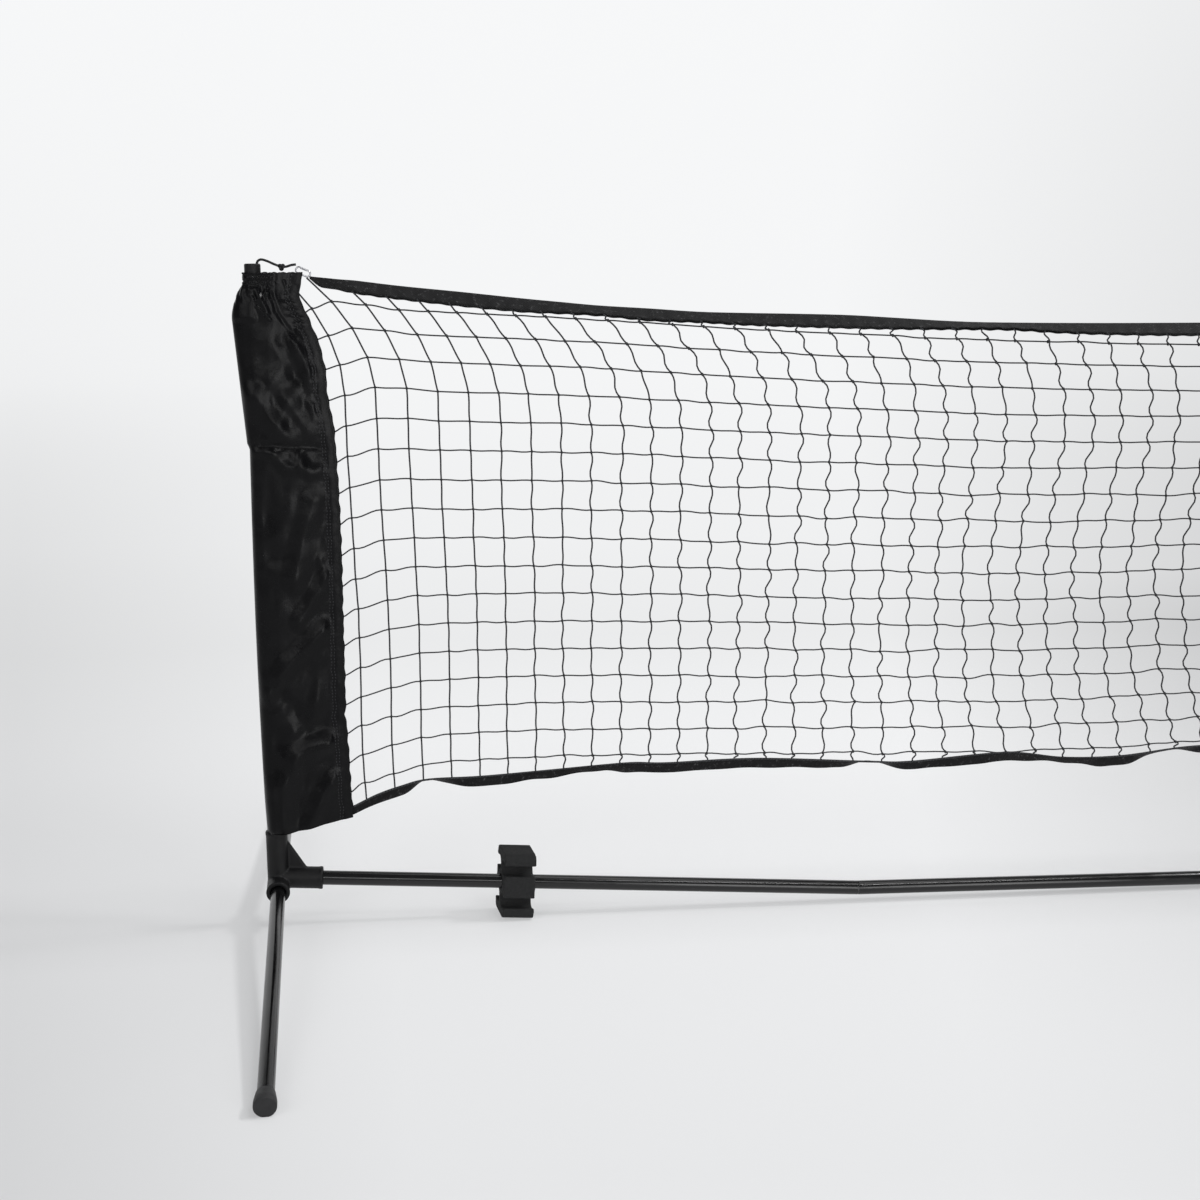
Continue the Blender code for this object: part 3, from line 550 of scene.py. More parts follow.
def stitch_rows(cloth):
    """Rows of short stitches that run along the sleeve's seam."""
    parts = knit(cloth.tree, "SeparateXYZ", Vector=cloth.where)
    rows = [(parts - far).math("ABSOLUTE", 0.0).spread(0.0003, 0.0007, 1.0, 0.0)
            for far in STITCH_ROWS]
    dash = parts.pick("Y").math("PINGPONG", STITCH_PITCH / 2)
    return rows[0].math("MAXIMUM", rows[1]) * dash.spread(0.0009, 0.0013, 0.0, 1.0)


def make_finishes():
    """One finish for each material slot, each with its own grain, weave or wear."""
    paint = Finish("gloss_black_paint", (0.0025, 0.0025, 0.0027), 0.2)
    paint.roughen(paint.noise(38, 6), 0.15, 0.27, 0.35, 0.75)
    paint.tint(paint.noise(9, 5), (0.0016, 0.0016, 0.0018), (0.0034, 0.0034, 0.0037))
    paint.bump((paint.noise(900, 2), 0.00001))

    mould = Finish("matte_black_moulding", (0.0045, 0.0045, 0.005), 0.5, Specular_IOR_Level=0.26)
    mould.roughen(mould.noise(60, 5), 0.42, 0.58)
    mould.tint(mould.noise(25, 4), (0.003, 0.003, 0.0034), (0.006, 0.006, 0.0065))
    mould.bump((mould.noise(1600, 2), 0.00004), (mould.noise(90, 3), 0.0002))

    cap = Finish("dark_rubber_cap", (0.028, 0.028, 0.029), 0.62, Specular_IOR_Level=0.35)
    cap.roughen(cap.noise(110, 4), 0.52, 0.7)
    cap.tint(cap.noise(40, 5), (0.014, 0.014, 0.015), (0.026, 0.026, 0.027))
    cap.bump((cap.noise(1300, 3), 0.00006))

    foam = Finish("dark_grey_foam", (0.035, 0.036, 0.037), 0.88, Specular_IOR_Level=0.25)
    pores = knit(foam.tree, "TexVoronoi", "Distance", Vector=foam.where, Scale=850.0)
    foam.tint(foam.noise(240, 4, 0.7), (0.013, 0.0133, 0.0135), (0.03, 0.0305, 0.031))
    foam.bump((pores, 0.00035), (foam.noise(140, 4), 0.0005))

    spigot = Finish("zinc_steel", (0.45, 0.45, 0.46), 0.35, 1.0, scale=(1, 12, 12))
    spigot.roughen(spigot.noise(70, 5), 0.26, 0.46)
    spigot.bump((spigot.noise(300, 3), 0.00002))

    sleeve = Finish("black_sleeve_cloth", (0.002, 0.002, 0.0026), 0.3, laps=True,
                    Specular_IOR_Level=0.15, Sheen_Weight=0.01, Sheen_Roughness=0.35)
    whole = sleeve.coords()
    # The stitch rows are real relief; their lighter tint is a painted glint on the thread.
    stitches = stitch_rows(sleeve) * 0.8
    sleeve.tint(sleeve.noise(22, 5, where=whole) * 0.05 + stitches,
                (0.0008, 0.0008, 0.0012), (0.04, 0.04, 0.043))
    sleeve.roughen(sleeve.noise(45, 4, where=whole), 0.25, 0.36)
    sleeve.bump((sleeve.waves(210) * sleeve.waves(210, "Y"), 0.00002),
                (sleeve.noise(48, 4, where=whole), 0.0009), (stitches, 0.0003))

    tape = Finish("black_woven_tape", (0.006, 0.006, 0.0066), 0.75, laps=True,
                  Specular_IOR_Level=0.2, Sheen_Weight=0.04, Sheen_Roughness=0.5)
    twill = tape.waves(160, "DIAGONAL")
    # Light flecks on the raised twill threads are painted glints.
    glint_flecks = tape.noise(170, 3, 0.7).spread(0.56, 0.66, 0.0, 1.0)
    tape.tint(glint_flecks * twill, (0.0042, 0.0042, 0.0047), (0.065, 0.065, 0.067))
    tape.roughen(twill, 0.62, 0.8, 0.0, 1.0)
    tape.bump((twill, 0.00012), (tape.noise(60, 4), 0.0005))

    twine = Finish("dark_twisted_twine", (0.026, 0.027, 0.03), 0.7, laps=True,
                   scale=(1, 240, 1), Specular_IOR_Level=0.35)
    slope = knit(twine.tree, "SeparateXYZ", Vector=twine.where)
    ply = (slope + slope.pick("Y")).math("PINGPONG", 0.5)
    twine.tint(ply.spread(0.0, 0.5, 0.0, 1.0), (0.012, 0.0125, 0.014), (0.042, 0.043, 0.047))
    twine.bump((ply, 0.0007))

    cord = Finish("black_braided_cord", (0.009, 0.009, 0.0095), 0.62, laps=True,
                  scale=(8, 800, 1), Specular_IOR_Level=0.35)
    checks = knit(cord.tree, "TexChecker", "Fac", Vector=cord.where, Scale=1.0)
    cord.tint(checks, (0.006, 0.006, 0.0065), (0.013, 0.013, 0.014))
    cord.bump((checks, 0.00012))

    link = Finish("bright_link", (0.5, 0.5, 0.52), 0.18, 1.0)
    link.roughen(link.noise(600, 4), 0.1, 0.26)
    link.bump((link.noise(900, 3), 0.00001))

    made = {"tube": paint, "moulding": mould, "cap": cap, "foam": foam, "spigot": spigot,
            "sleeve_cloth": sleeve, "tape": tape, "twine": twine, "cord": cord, "link": link}
    FINISH.update((slot, finish.material) for slot, finish in made.items())


def settle(piece, body, slot, *nodes):
    """A piece takes its slot's finish, rides on its body and stands for its CAD nodes."""
    piece.data.materials.append(FINISH[slot])
    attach(piece, body)
    if nodes:
        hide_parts(*nodes)


def make_tube(name, begin, end, body):
    """A painted tube: its section runs up the outer side and down the bore, with eased rims."""
    along = end - begin
    bore = TUBE_R - TUBE_WALL
    ring = [(TUBE_R, 0), (TUBE_R, along.length), (bore, along.length), (bore, 0)]
    piece = revolved(name + "_painted", filleted(ring, TUBE_RIM, closed=True), begin, along,
                     closed=True)
    settle(piece, body, "tube", name)


def make_tubes():
    """Posts, feet and crossbar, and the spigots' finish."""
    outer, inner = (0, SEAM_S, ARM_SEAT), (SEAM_S, HALF, SEAM_GAP / 2)
    for label, side in SIDES.items():
        make_tube(f"post_{label}", Vector(place(side, 0, 0, POST_SEAT)),
                  Vector(place(side, 0, 0, POST_TOP)), "net_and_posts")
        for end_label, end in ENDS.items():
            start, outward, length = foot_line(side, end)
            make_tube(f"foot_tube_{label}_{end_label}", start + outward * FOOT_SEAT,
                      start + outward * (length - CAP_FACE - GAP), f"foot_{label}_{end_label}")
        spans = {1: outer, 2: inner} if side < 0 else {3: inner, 4: outer}
        for number, (near, far, seat) in spans.items():
            begin, end = bar_point(side, near), bar_point(side, far)
            ahead = (end - begin).normalized()
            make_tube(f"crossbar_tube_{number}", begin + ahead * seat,
                      end - ahead * SEAM_GAP / 2, "frame")
    for number in (1, 2, 3):
        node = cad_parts[f"crossbar_spigot_{number}"]
        node.data.materials.clear()
        node.data.materials.append(FINISH["spigot"])


def make_caps():
    """Rubber end caps: a flared cup with an eased face, and the flat that it stands on."""
    for label, side in SIDES.items():
        for end_label, end in ENDS.items():
            start, outward, length = foot_line(side, end)
            mouth = length - CAP_LONG
            profile = [(TUBE_R + GAP, length - CAP_FACE), (TUBE_R + GAP, mouth),
                       (CAP_MOUTH_R, mouth), (CAP_R, length - CAP_BAND),
                       (CAP_R, length), (CAP_R * 0.55, length), (0, length)]
            profile = np.vstack([[0, length - CAP_FACE], filleted(profile, CAP_EASE, steps=6)])
            cap = revolved(f"foot_cap_{label}_{end_label}_rubber", profile, start, outward)
            for point in cap.data.vertices:
                point.co.z = max(point.co.z, 0.0)
            settle(cap, f"foot_{label}_{end_label}", "cap", f"foot_cap_{label}_{end_label}")


def softened(node, ending, voxel, passes):
    """A copy of a CAD solid, remeshed finely and smoothed so that its edges melt together."""
    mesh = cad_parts[node].data.copy()
    mesh.materials.clear()
    merge_doubled(mesh, 0.000005)
    piece = add(f"{node}_{ending}", mesh)
    remesh = piece.modifiers.new("remesh", "REMESH")
    remesh.mode = "VOXEL"
    remesh.voxel_size = voxel
    remesh.use_smooth_shade = True
    melt = piece.modifiers.new("melt", "SMOOTH")
    melt.factor = 0.5
    melt.iterations = passes
    graph = bpy.context.evaluated_depsgraph_get()
    made = bpy.data.meshes.new_from_object(piece.evaluated_get(graph))
    bpy.data.objects.remove(piece)
    made.materials.clear()
    made.shade_smooth()
    return add(f"{node}_{ending}", made)


def make_mouldings():
    for label in SIDES:
        hub = softened(f"hub_{label}", "moulded", 0.0011, 8)
        settle(hub, "frame", "moulding", f"hub_{label}")
        plug = softened(f"post_plug_{label}", "moulded", 0.0004, 5)
        settle(plug, "net_and_posts", "moulding", f"post_plug_{label}")
        clip = softened(f"storage_clip_{label}", "foam", 0.001, 6)
        settle(clip, f"clip_{label}", "foam", f"storage_clip_{label}")


def sleeve_edge(z):
    """Distance from the post's axis to the sleeve's seam with the net, a little ragged."""
    ragged = 0.0005 * np.sin(z * 310) + 0.0004 * np.sin(z * 173 + 1.0)
    return flowing_value(SEAM_LINE, z) + ragged


def gathered(z):
    """0 at the bulge and below it, and 1 from the elastic band's lower edge up."""
    return 1 - np.cos(np.pi / 2 * np.clip((z - BULGE_AT) / (BAND_LOW - BULGE_AT), 0, 1))


def sleeve_depth(z):
    """Half depth of the sleeve at the post, before its folds."""
    return SLEEVE_ROUND + (SLEEVE_GATHER - SLEEVE_ROUND) * gathered(z)


def sleeve_back(z):
    """Reach of the sleeve past the post: full, stepped at the crease, bulging, then gathered."""
    low = 0.0119 + 0.0026 * np.sin(np.pi * np.clip((z - HUB_RIM) / (CREASE_AT - HUB_RIM), 0, 1))
    low = low - 0.0009 * bell(z, HUB_RIM, 0.03)
    high = 0.0146 + 0.0122 * np.clip((z - CREASE_AT) / (BULGE_AT - CREASE_AT), 0, 1)
    high = high + (SLEEVE_GATHER - high) * gathered(z)
    return low + (high - low) * smooth((z - CREASE_AT + 0.004) / 0.008)


def fold(s, z, line, wide, high):
    """One fold's height: a tent along its line (s, height), with flat flanks and eased feet."""
    off = np.full(np.broadcast(s, z).shape, 1.0)
    for begin, end in zip(line[:-1], line[1:]):
        ahead_s, ahead_z = end[0] - begin[0], end[1] - begin[1]
        far_s, far_z = s - begin[0], z - begin[1]
        along = np.clip((far_s * ahead_s + far_z * ahead_z) / (ahead_s ** 2 + ahead_z ** 2), 0, 1)
        off = np.minimum(off, np.hypot(far_s - along * ahead_s, far_z - along * ahead_z))
    near = np.clip(1 - np.hypot(off, 0.0012) / wide, 0, 1)
    return high * (0.6 * near + 0.4 * smooth(near))


def crumple(s, z, front):
    """Loose creases of packed cloth: slanting ridges whose phase wanders, in a few sizes."""
    shift = 0.0 if front else 2.3
    slant = 0.87 * s - 0.49 * z
    wander = np.sin(z * 31 + shift) + 0.7 * np.sin(z * 17 - s * 60 + 2 * shift)
    broad = np.sin(turns(slant, 0.052) + 1.7 * wander)
    other = np.sin(turns(0.6 * s + 0.8 * z, 0.047) + 1.9 * np.sin(z * 23 + 1 + shift))
    small = np.sin(turns(slant, 0.021) + 2.6 * np.sin(z * 53 + s * 40 + shift))
    calm = 0.75 + 0.45 * bell(z, 0.2, 0.1) + 0.3 * bell(z, 0.74, 0.09)
    return calm * (0.00095 * broad + 0.00055 * other + 0.00022 * small)


def panel(s, z, front):
    """Half depth of the front or rear panel: a taper from post to seam, its folds and stitches."""
    seam = sleeve_edge(z)
    inside = seam - s
    across = np.clip((s - 0.016) / (seam - 0.03), 0, 1)
    across = 0.5 * across + 0.5 * smooth(across)
    hem = SLEEVE_SEAM + 0.0016 * smooth(inside / 0.012)
    flat = hem + (sleeve_depth(z) - hem) * (1 - across)
    fallen = smooth((s - read(DROP_LINE, z)) / 0.0065) * smooth((z - 0.712) / 0.014)
    dropped = np.maximum(0.0034, 0.0046 + 0.1 * (z - 0.775)) + 0.0005 * np.sin(z * 170 + s * 90)
    flat = flat + (np.minimum(flat, dropped) - flat) * fallen
    folds = sum(fold(s, z, *line) for line in (FRONT_FOLDS if front else REAR_FOLDS))
    folds = folds + crumple(s, z, front) * smooth((s + 0.012) / 0.02) * (1 - 0.97 * fallen)
    folds = folds * smooth((inside - 0.006) / 0.02)
    rows = sum(bell(inside, far, 0.001) for far in STITCH_ROWS)
    dotted = 0.45 + 0.55 * np.sin(turns(z, STITCH_PITCH))
    pucker = np.sin(turns(z, 0.0085) + 2.0 * np.sin(z * 41)) * bell(inside, 0.0145, 0.0065)
    sewn = (-0.001 * rows * dotted + 0.0006 * pucker) * smooth((0.835 - z) / 0.02)
    clear = np.sqrt(np.maximum(0.0, (TUBE_R + 2 * CLOTH) ** 2 - s * s))
    return np.maximum.reduce([flat + folds + sewn, clear, np.full_like(s, SLEEVE_SEAM)])


def make_sleeve(label, side):
    """Cloth pocket round the post, as rings from the lower edge to the gathered top.

    A ring runs along the front panel from the seam to the post, round the post on an
    ellipse, and back along the rear panel. Rows lie closer together in the elastic band.
    """
    rows = np.concatenate([np.linspace(0, BAND_SHARE, LOWER_ROWS, endpoint=False),
                           np.linspace(BAND_SHARE, 1, BAND_ROWS)])[:, None]
    height = SLEEVE_LOW + (SLEEVE_TOP - SLEEVE_LOW) * rows
    across = 1 - np.arange(PANEL_STEPS) / PANEL_STEPS
    round_post = np.linspace(0, 1, BACK_STEPS + 1)
    turn = np.pi / 2 + np.pi * round_post
    s_front = sleeve_edge(height) * across
    s_rear = s_front[:, ::-1]
    s = np.hstack([s_front, sleeve_back(height) * np.cos(turn), s_rear])
    low = SLEEVE_LOW + 0.172 * np.maximum(0.0, s - 0.0125)
    z = low + (SLEEVE_TOP - low) * rows
    z_front, z_back, z_rear = np.split(z, [PANEL_STEPS, PANEL_STEPS + BACK_STEPS + 1], axis=1)
    level = np.zeros_like(z_back)
    depth = (panel(level, z_back, True) * (1 - smooth(round_post))
             + panel(level, z_back, False) * smooth(round_post))
    y_back = -np.maximum(depth, sleeve_depth(height) * 0.9) * np.sin(turn)
    y = np.hstack([-panel(s_front, z_front, True), y_back, panel(s_rear, z_rear, False)])
    ring = np.stack([s, y], -1)
    gone = run_lengths(ring)
    band = smooth((z - BAND_LOW + 0.0035) / 0.004)
    under = bell(z, BAND_LOW - 0.01, 0.012) * (1 - band)
    near_post = smooth((0.03 - s) / 0.01)
    ruffle = np.sin(turns(gone, 0.0046) + 1.3 * np.sin(z * 900) + 2 * np.sin(gone * 260))
    fan = np.sin(turns(gone, 0.0105) + 60 * (SLEEVE_TOP - z) + 1.1)
    elastic = np.cos(turns(z - BAND_LOW, 0.0065)) * 0.0004 * band
    over = (1 - near_post) * band * 0.0003 * np.sin(turns(gone, 0.016))
    push = near_post * (0.0007 * ruffle * band + 0.0011 * fan * under + elastic) + over
    number = np.arange(s.shape[1])
    push = push * np.minimum(1, np.minimum(number, number[::-1]) / 6)
    ahead = unit(np.roll(ring, -1, axis=1) - np.roll(ring, 1, axis=1))
    top_wave = 0.0006 * np.sin(turns(gone, 0.012)) * smooth((rows - 0.975) / 0.025)
    points = place(side, s - ahead[..., 1] * push, y + ahead[..., 0] * push, z + top_wave)
    total = np.hstack([gone, gone[:, -1:] + 0.003])
    total = np.minimum(total, total[:, -1:] - total)
    laps = np.stack([total, np.hstack([z, z[:, :1]])], -1)
    if side > 0:
        points, laps = points[:, ::-1], laps[:, ::-1]
    sleeve = skin(f"sleeve_{label}_cloth", points, laps, ends=False)
    shell = sleeve.modifiers.new("cloth", "SOLIDIFY")
    shell.thickness = CLOTH * 0.8
    shell.offset = -1
    settle(sleeve, "net_and_posts", "sleeve_cloth", f"sleeve_{label}")


def tape_lines(s):
    """Lower edge, upper edge and how far the upper edge leans back, along the tape."""
    low = flowing_value(TAPE_LOWER, s)
    high = flowing_value(TAPE_UPPER, s)
    wide = np.minimum(TAPE_WIDE, high - low + 0.0006 + 0.02 * smooth((s - 0.1) / 0.06))
    back = np.sqrt(np.maximum(0.0, wide ** 2 - (high - low) ** 2))
    return low, high, back


def whole_run(first, count):
    """Both halves of the net's run from left to right: sides and distances s."""
    half = np.linspace(first, HALF, count)
    return np.repeat([-1.0, 1.0], [count, count - 1]), np.concatenate([half, half[-2::-1]])


def woven(name, line, middle, rise, share, off, round_far):
    """A tape: a section of (share of the rise, distance across it) carried along a line."""
    across = unit(np.cross(np.gradient(middle, axis=0), rise))
    points = line[:, None] + rise[:, None] * share[:, None] + across[:, None] * off[..., None]
    return skin(name, points, laid(run_lengths(line)[:, None], round_far))


def make_top_tape():
    """Tape folded over the net's head: a hairpin section whose height leans as the tape turns."""
    side, s = whole_run(TAPE_TIP, 620)
    low, high, back = tape_lines(s)
    inner = TAPE_HALF - TAPE_CLOTH
    bend = np.linspace(0, np.pi, 7)[1:-1]
    share = np.concatenate([np.linspace(0, 0.93, 9), 0.93 + 0.07 * np.sin(bend),
                            np.linspace(0.93, 0, 9), np.linspace(0, 0.88, 7),
                            np.linspace(0.88, 0, 7)])
    off = np.concatenate([np.full(9, TAPE_HALF), TAPE_HALF * np.cos(bend),
                          np.repeat([-TAPE_HALF, -inner, inner], [9, 7, 7])])
    round_far = run_lengths(np.stack([share * TAPE_WIDE, off], -1))
    round_far = np.append(round_far, round_far[-1] + 2 * inner)
    run = s[:, None]
    ripple = 0.0006 * np.sin(turns(run, 0.021) + 3 * np.sin(run * 9)) * (1 - share)
    stitch = 0.0003 * bell(share, 0.18, 0.03) * np.sign(off)
    pinch = smooth((run - TAPE_TIP) / 0.02) * 0.65 + 0.35
    tape = woven("top_tape_woven", place(side, s, -back / 2, low),
                 place(side, s, 0, (low + high) / 2), laid(0, back, high - low),
                 share, off * pinch - stitch + ripple, round_far)
    settle(tape, "net_and_posts", "tape", "top_tape")


def make_bottom_tape():
    """Flat ribbon sewn under the foot line by its upper edge, its free edge swinging."""
    side, s = whole_run(RIBBON_LINE[0][0], 760)
    line = place(side, s, 0, flowing_value(RIBBON_LINE, s))
    swing = np.radians(eased(RIBBON_SWING, s))
    rise = RIBBON_WIDE * laid(0, -np.sin(swing), -np.cos(swing))
    share = np.concatenate([[0], np.linspace(0.03, 0.97, 7), [1], np.linspace(0.97, 0.03, 7)])
    off = np.repeat([0, -RIBBON_THICK / 2, 0, RIBBON_THICK / 2], [1, 7, 1, 7])
    run = s[:, None]
    flutter = 0.0012 * np.sin(turns(run, 0.061) + 2 * np.sin(run * 5)) * share
    ribbon = woven("bottom_tape_woven", line, line, rise, share, off + flutter,
                   np.linspace(0, 2 * RIBBON_WIDE, len(share) + 1))
    settle(ribbon, "net_and_posts", "tape", "bottom_tape")


def row_height(stand, k):
    """Height of row k (1 at the top) at an upright: the upper rows lie a little closer together."""
    high, low = read(FIRST_ROW, stand), read(LAST_ROW, stand)
    share = 0.0637 * (k - 1) - 0.0195 * (1 - np.exp(-(k - 1) / 1.1))
    return high - (high - low) * share


def upright_place(stand, z):
    """Where an upright passes a height: its stand, drawn to the post above, drifting below."""
    above = np.clip(1 - (read(HEAD_HEIGHT, stand) - z) / 0.16, 0, 1)
    far = smooth((stand - 0.62) / 0.55) * 1.12 * (1 - smooth((stand - 1.25) / 0.31))
    near = 1 - smooth((stand - 0.15) / 0.3)
    drift = far * flowing_value(DRIFT, z) + near * flowing_value(NEAR_DRIFT, z)
    return stand - read(HEAD_DRAWN, stand) * above ** 2.2 + drift


def strung(knots, t, sway=0.0):
    """Lines (line, step) through their knots (line, knot), with shares t of each stretch."""
    line = knots[:, :-1, None] * (1 - t) + knots[:, 1:, None] * t + sway
    return np.hstack([line.reshape(len(knots), -1), knots[:, -1:]])


def make_net():
    """Uprights and rows of twine through shared knots, each stretch in a soft S between them.

    Upright i stands at FIRST_UPRIGHT plus i spacings and passes each height at
    upright_place; row k hangs at row_height. Between two knots an upright swerves by a sine
    of one period, nearly always outwards first, and a row moves by an eased step and a dip.
    """
    half_count = UPRIGHTS // 2
    stand = FIRST_UPRIGHT + (HALF - FIRST_UPRIGHT) * (np.arange(half_count) / (half_count - 0.5))
    s_ideal, z_ideal = np.zeros((2, half_count, NET_ROWS + 2))
    for k in range(NET_ROWS + 2):
        s = stand
        for _ in range(6):
            if k == 0:
                low, high, _back = tape_lines(s)
                z = low + 0.12 * (high - low)
            elif k == NET_ROWS + 1:
                z = flowing_value(RIBBON_LINE, s)
            else:
                z = row_height(stand, k)
            s = upright_place(stand, z)
        s_ideal[:, k], z_ideal[:, k] = s, z

    t = np.linspace(0, 1, 6, endpoint=False)
    whole_wave, half_wave = np.sin(2 * np.pi * t), np.sin(np.pi * t)
    loose = smooth((stand - 0.16) / 0.6)[:, None]
    slack = smooth((np.arange(NET_ROWS) - 2) / 7)
    inner = slice(1, NET_ROWS + 1)
    shape, cells = (half_count, NET_ROWS), (half_count, NET_ROWS + 1, 1)
    uprights, knots = [], []
    for side in (-1, 1):
        s_knots, z_knots = s_ideal.copy(), z_ideal.copy()
        s_knots[:, inner] += RANDOM.normal(0, 1, shape) * (0.0003 + 0.0009 * loose)
        z_knots[:, inner] += RANDOM.normal(0, 1, shape) * (0.0003 + 0.0009 * loose * slack)
        knots.append(place(side, s_knots, 0, z_knots)[:, inner].swapaxes(0, 1))
        outwards = np.where(RANDOM.uniform(0, 1, cells) < 0.88, 1.0, -0.6)
        swerve = (outwards * RANDOM.uniform(0.6, 1.35, cells) * whole_wave * 0.0029
                  + RANDOM.normal(0, 1, cells) * half_wave * 0.001)
        s_line = strung(s_knots, t, swerve * (0.06 + 0.94 * loose[..., None]))
        z_line = strung(z_knots, t)
        low, _high, back = tape_lines(s_knots[:, :1])
        y_line = np.clip(-(back / 2) * np.exp((z_line - low) / 0.03), -0.012, 0)
        uprights.append(place(side, s_line, y_line, z_line))
    upright_piece = strands("net_uprights", np.concatenate(uprights), TWINE_R, 5)

    number = np.arange(1, NET_ROWS + 1)
    end_height = row_height(ROW_END, number)[:, None]
    left, right = (place(side, sleeve_edge(end_height) - 0.005, 0, end_height - 0.0015)
                   for side in (-1, 1))
    row_knots = np.hstack([left, knots[0], knots[1][:, ::-1], right])
    cells = (NET_ROWS, row_knots.shape[1] - 1, 1)
    slack = (0.35 + 0.65 * smooth((number - 2) / 7))[:, None, None]
    dip = slack * (RANDOM.choice([-1, 1], cells) * RANDOM.uniform(0.3, 1.0, cells)
                   * whole_wave * 0.0008
                   - RANDOM.uniform(0.0, 1.0, cells) * half_wave * 0.001)
    rows = laid(strung(row_knots[..., 0], t), 0, strung(row_knots[..., 2], smooth(t), dip))
    row_piece = strands("net_rows", rows, TWINE_R * 0.88, 5)

    up = laid(0, 0, np.linspace(-1, 1, len(KNOT_GIRTH)) * KNOT_REACH)
    knot_lines = row_knots[:, 1:-1].reshape(-1, 1, 3) + up
    knot_piece = strands("net_knots", knot_lines, KNOT_GIRTH, 6)

    side, s = whole_run(0.1, 500)
    foot = place(side, s, 0, flowing_value(RIBBON_LINE, s) + 0.0006)
    foot_piece = strands("net_foot_line", foot, TWINE_R * 1.2, 6)
    for piece in (upright_piece, row_piece, knot_piece, foot_piece):
        settle(piece, "net_and_posts", "twine", "net")


def on_link(side, along, up, y):
    """Points of the sloping link by their distances along it and up from its middle."""
    c, d = math.cos(LINK_SLOPE), math.sin(LINK_SLOPE)
    return place(side, LINK_MIDDLE[0] + along * c - up * d, y,
                 POST_TOP + LINK_MIDDLE[1] + along * d + up * c)


def make_fastening(label, side):
    """Tension cord from the plug, its knot with a short tail, and the link to the tape."""
    route = flowing([(s, 0.0, POST_TOP + up) for s, up in CORD_ROUTE], 30)
    line = place(side, *route.T)
    cord = strands(f"tension_cord_{label}_braided", line, CORD_R, 16)
    settle(cord, "net_and_posts", "cord", f"tension_cord_{label}")
    s, y, z = route[-1] + (0.0038, 0, -0.0014)
    t = np.linspace(0, 2 * np.pi, 60)
    loop = place(side, s + CORD_KNOT * (np.sin(t) + 2 * np.sin(2 * t)),
                 y - CORD_KNOT * 1.2 * np.sin(3 * t),
                 z + CORD_KNOT * (np.cos(t) - 2 * np.cos(2 * t)))
    tail = flowing([(s, 0.0, z), (s + 0.006, -0.0008, z + 0.0004),
                    (s + 0.012, -0.0004, z + 0.0022),
                    (TAIL_END[0], 0.0, POST_TOP + TAIL_END[1])], 24)
    knot = strands(f"cord_knot_{label}_tied", loop, CORD_R, 12)
    end = strands(f"cord_tail_{label}", place(side, *tail.T), CORD_R, 12)
    for piece in (knot, end):
        settle(piece, "net_and_posts", "cord", f"cord_knot_{label}")

    turn = np.linspace(-np.pi / 2, np.pi / 2, 17)
    oval = laid(LINK_REACH + LINK_BEND * np.cos(turn), LINK_BEND * np.sin(turn))
    along, up = np.concatenate([oval, -oval]).T
    loop = on_link(side, along, up, 0)
    ahead = np.roll(loop, -1, axis=0) - np.roll(loop, 1, axis=0)
    laps = laid(np.linspace(0, 1, 13), np.linspace(0, 0.05, len(loop) + 1)[:, None])
    link = skin(f"snap_link_{label}_wire", rings(loop, ahead, LINK_R, 12), laps, ends=False,
                loop=True)
    settle(link, "net_and_posts", "link", f"snap_link_{label}")
    gate = on_link(side, np.linspace(-0.9, 0.75, 12) * LINK_REACH, np.linspace(0.0028, 0.003, 12),
                   0.0004)
    bar = strands(f"snap_gate_{label}", gate, GATE_R, 10)
    settle(bar, "net_and_posts", "link")


def make_stage():
    """A pale floor that curves up into a pale wall.

    The lens and reflections see the paper partly by its own glow, which changes along the
    paper and falls off towards both sides, so that it keeps the object's shadow but stays
    pale.
    """
    radius, front, back, wall = 2.0, -14.0, 8.0, 9.0
    turn = np.linspace(0, np.pi / 2, 24)[1:]
    profile = np.vstack([laid(np.linspace(front, back, 56), 0),
                         laid(back + radius * np.sin(turn), radius - radius * np.cos(turn)),
                         laid(back + radius, np.linspace(radius, wall, 13)[1:])])
    x = np.linspace(-16, 16, 81)
    laps = laid(x, run_lengths(profile)[:, None] + front)
    floor = skin("paper_sweep", laid(x, profile[:, :1], profile[:, 1:]), laps, ring=False,
                 ends=False)
    floor.data.materials.append(make_paper())


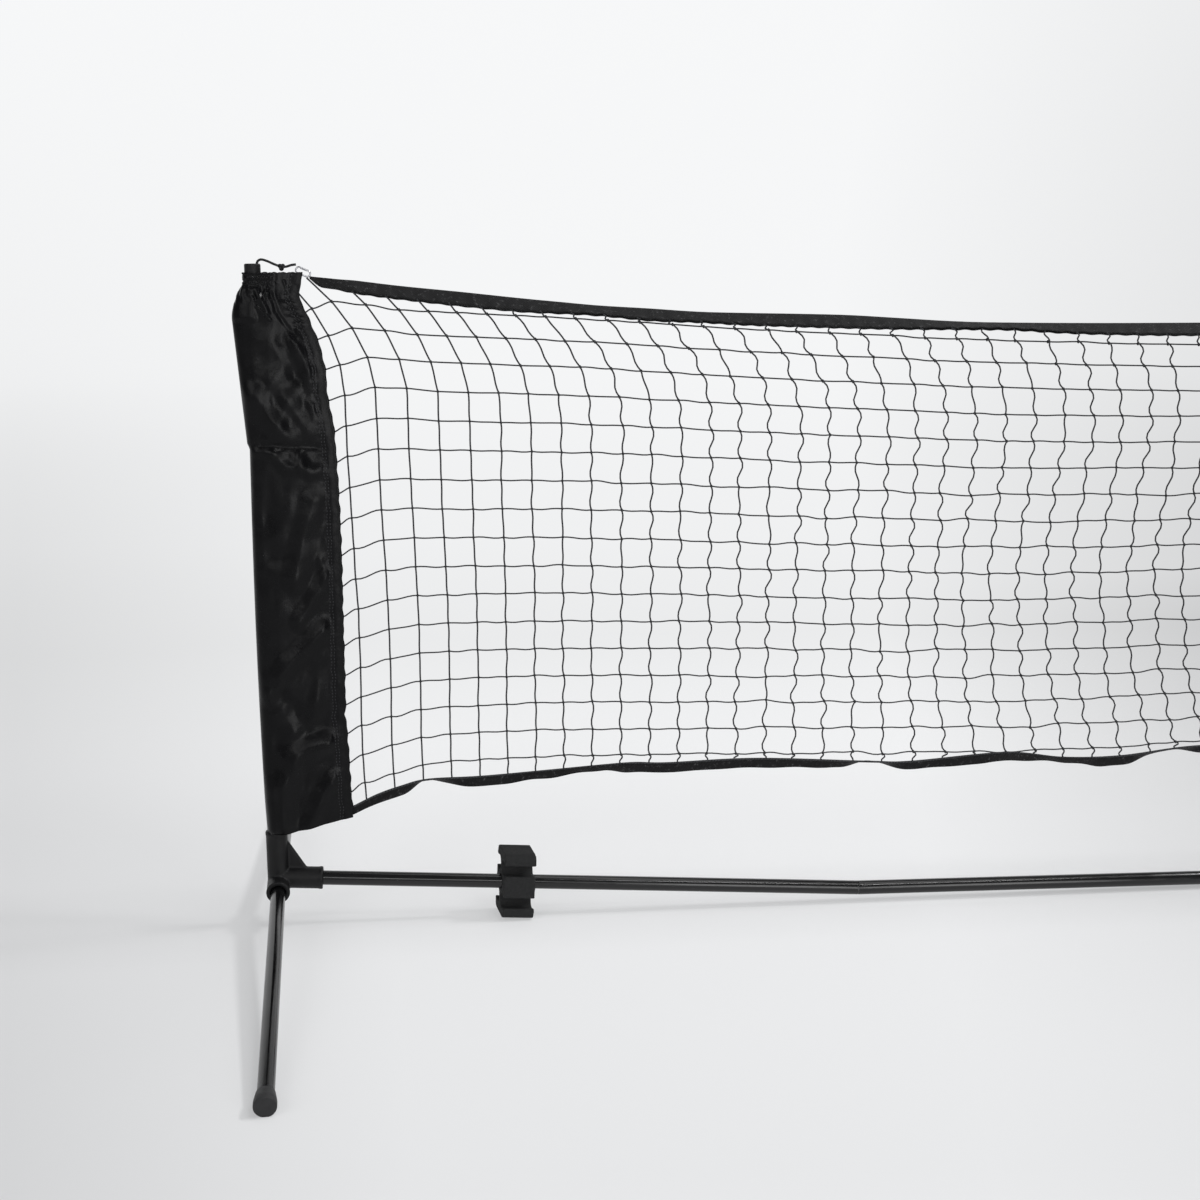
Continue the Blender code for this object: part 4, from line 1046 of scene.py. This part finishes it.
def make_paper():
    """The paper's finish. fan is the place across it, drawn together towards the lens."""
    paper = Finish("pale_paper", (0.86, 0.865, 0.875), 0.9, laps=True, Specular_IOR_Level=0.05)
    tree = paper.tree
    across = knit(tree, "SeparateXYZ", Vector=paper.where)
    along = across.pick("Y")
    low, high = PAPER_GLOW[0][0], PAPER_GLOW[-1][0]
    level = knit(tree, "ValToRGB", Fac=along.spread(low, high, 0.0, 1.0))
    stops = level.output.node.color_ramp.elements
    for at, _glow in PAPER_GLOW[1:-1]:
        stops.new((at - low) / (high - low))
    for stop, (_at, glow) in zip(stops, PAPER_GLOW):
        stop.color = (glow * 0.985, glow * 0.992, glow, 1)
    fan = (across + 0.36 - along * 0.325) / (along.math("MAXIMUM", -1.4) * 0.35 + 1.0)
    dim = along.spread(-0.7, 1.6, 0.33, 0.16) * along.spread(2.0, 11.5, 1.0, 0.0)
    left = 1.0 - dim * fan.spread(-1.55, -1.05, 1.0, 0.0)
    dim = along.spread(-0.5, 0.2, 0.28, 0.58).math("MINIMUM", along.spread(0.8, 2.2, 0.58, 0.3))
    dim = dim * along.spread(2.8, 9.0, 1.0, 0.55)
    right = 1.0 - dim * fan.spread(-0.3, 0.45, 0.0, 1.0)
    dim = (1.0 - left * right) * along.spread(-3.0, -0.9, 0.0, 1.0)
    dim = dim * fan.spread(0.5, 1.3, 1.0, 0.2) * fan.spread(-2.6, -1.75, 0.2, 1.0)
    glow = knit(tree, "Emission", Color=level, Strength=1.0 - dim)
    lens = knit(tree, "LightPath", "Is Camera Ray")
    seen = lens.math("MAXIMUM", lens.pick("Is Glossy Ray"))
    seen = seen.math("MAXIMUM", lens.pick("Is Transmission Ray"))
    share = seen * along.spread(0.3, 1.56, 0.45, 0.95)
    front = lens * along.spread(-2.4, -0.9, 0.95, 0.0)
    mixed = knit(tree, "MixShader", i0=share.math("MAXIMUM", front),
                 i1=Value(paper.shader.outputs[0]), i2=glow)
    tree.links.new(mixed.output, tree.nodes["Material Output"].inputs["Surface"])
    return paper.material


def make_light():
    """Soft studio light: a dim room, a key overhead on the right, a narrow strip, a panel in
    front on the right, one over the lens, a weaker one on the left, and a broad one overhead."""
    world = bpy.data.worlds.new("room")
    world.use_nodes = True
    tree = world.node_tree
    back = tree.nodes["Background"]
    back.inputs["Color"].default_value = (0.97, 0.98, 1.0, 1)
    lens = knit(tree, "LightPath", "Is Camera Ray")
    strength = lens.spread(0.0, 1.0, ROOM_LIGHT, ROOM_SEEN)
    tree.links.new(strength.output, back.inputs["Strength"])
    bpy.context.scene.world = world
    for name, (at, aim, size, radiance) in LAMPS.items():
        data = bpy.data.lights.new(name, "AREA")
        data.shape = "RECTANGLE"
        data.size, data.size_y = size
        data.energy = radiance * math.pi * size[0] * size[1]
        lamp = add(name, data)
        lamp.location = at
        lamp.rotation_euler = (Vector(aim) - Vector(at)).to_track_quat("-Z", "Y").to_euler()
    bpy.context.scene.view_settings.view_transform = "Standard"


def main():
    make_camera()
    make_finishes()
    for label, side in SIDES.items():
        make_fastening(label, side)
    make_tubes()
    make_caps()
    make_mouldings()
    for label, side in SIDES.items():
        make_sleeve(label, side)
    make_top_tape()
    make_bottom_tape()
    make_net()
    make_stage()
    make_light()


main()
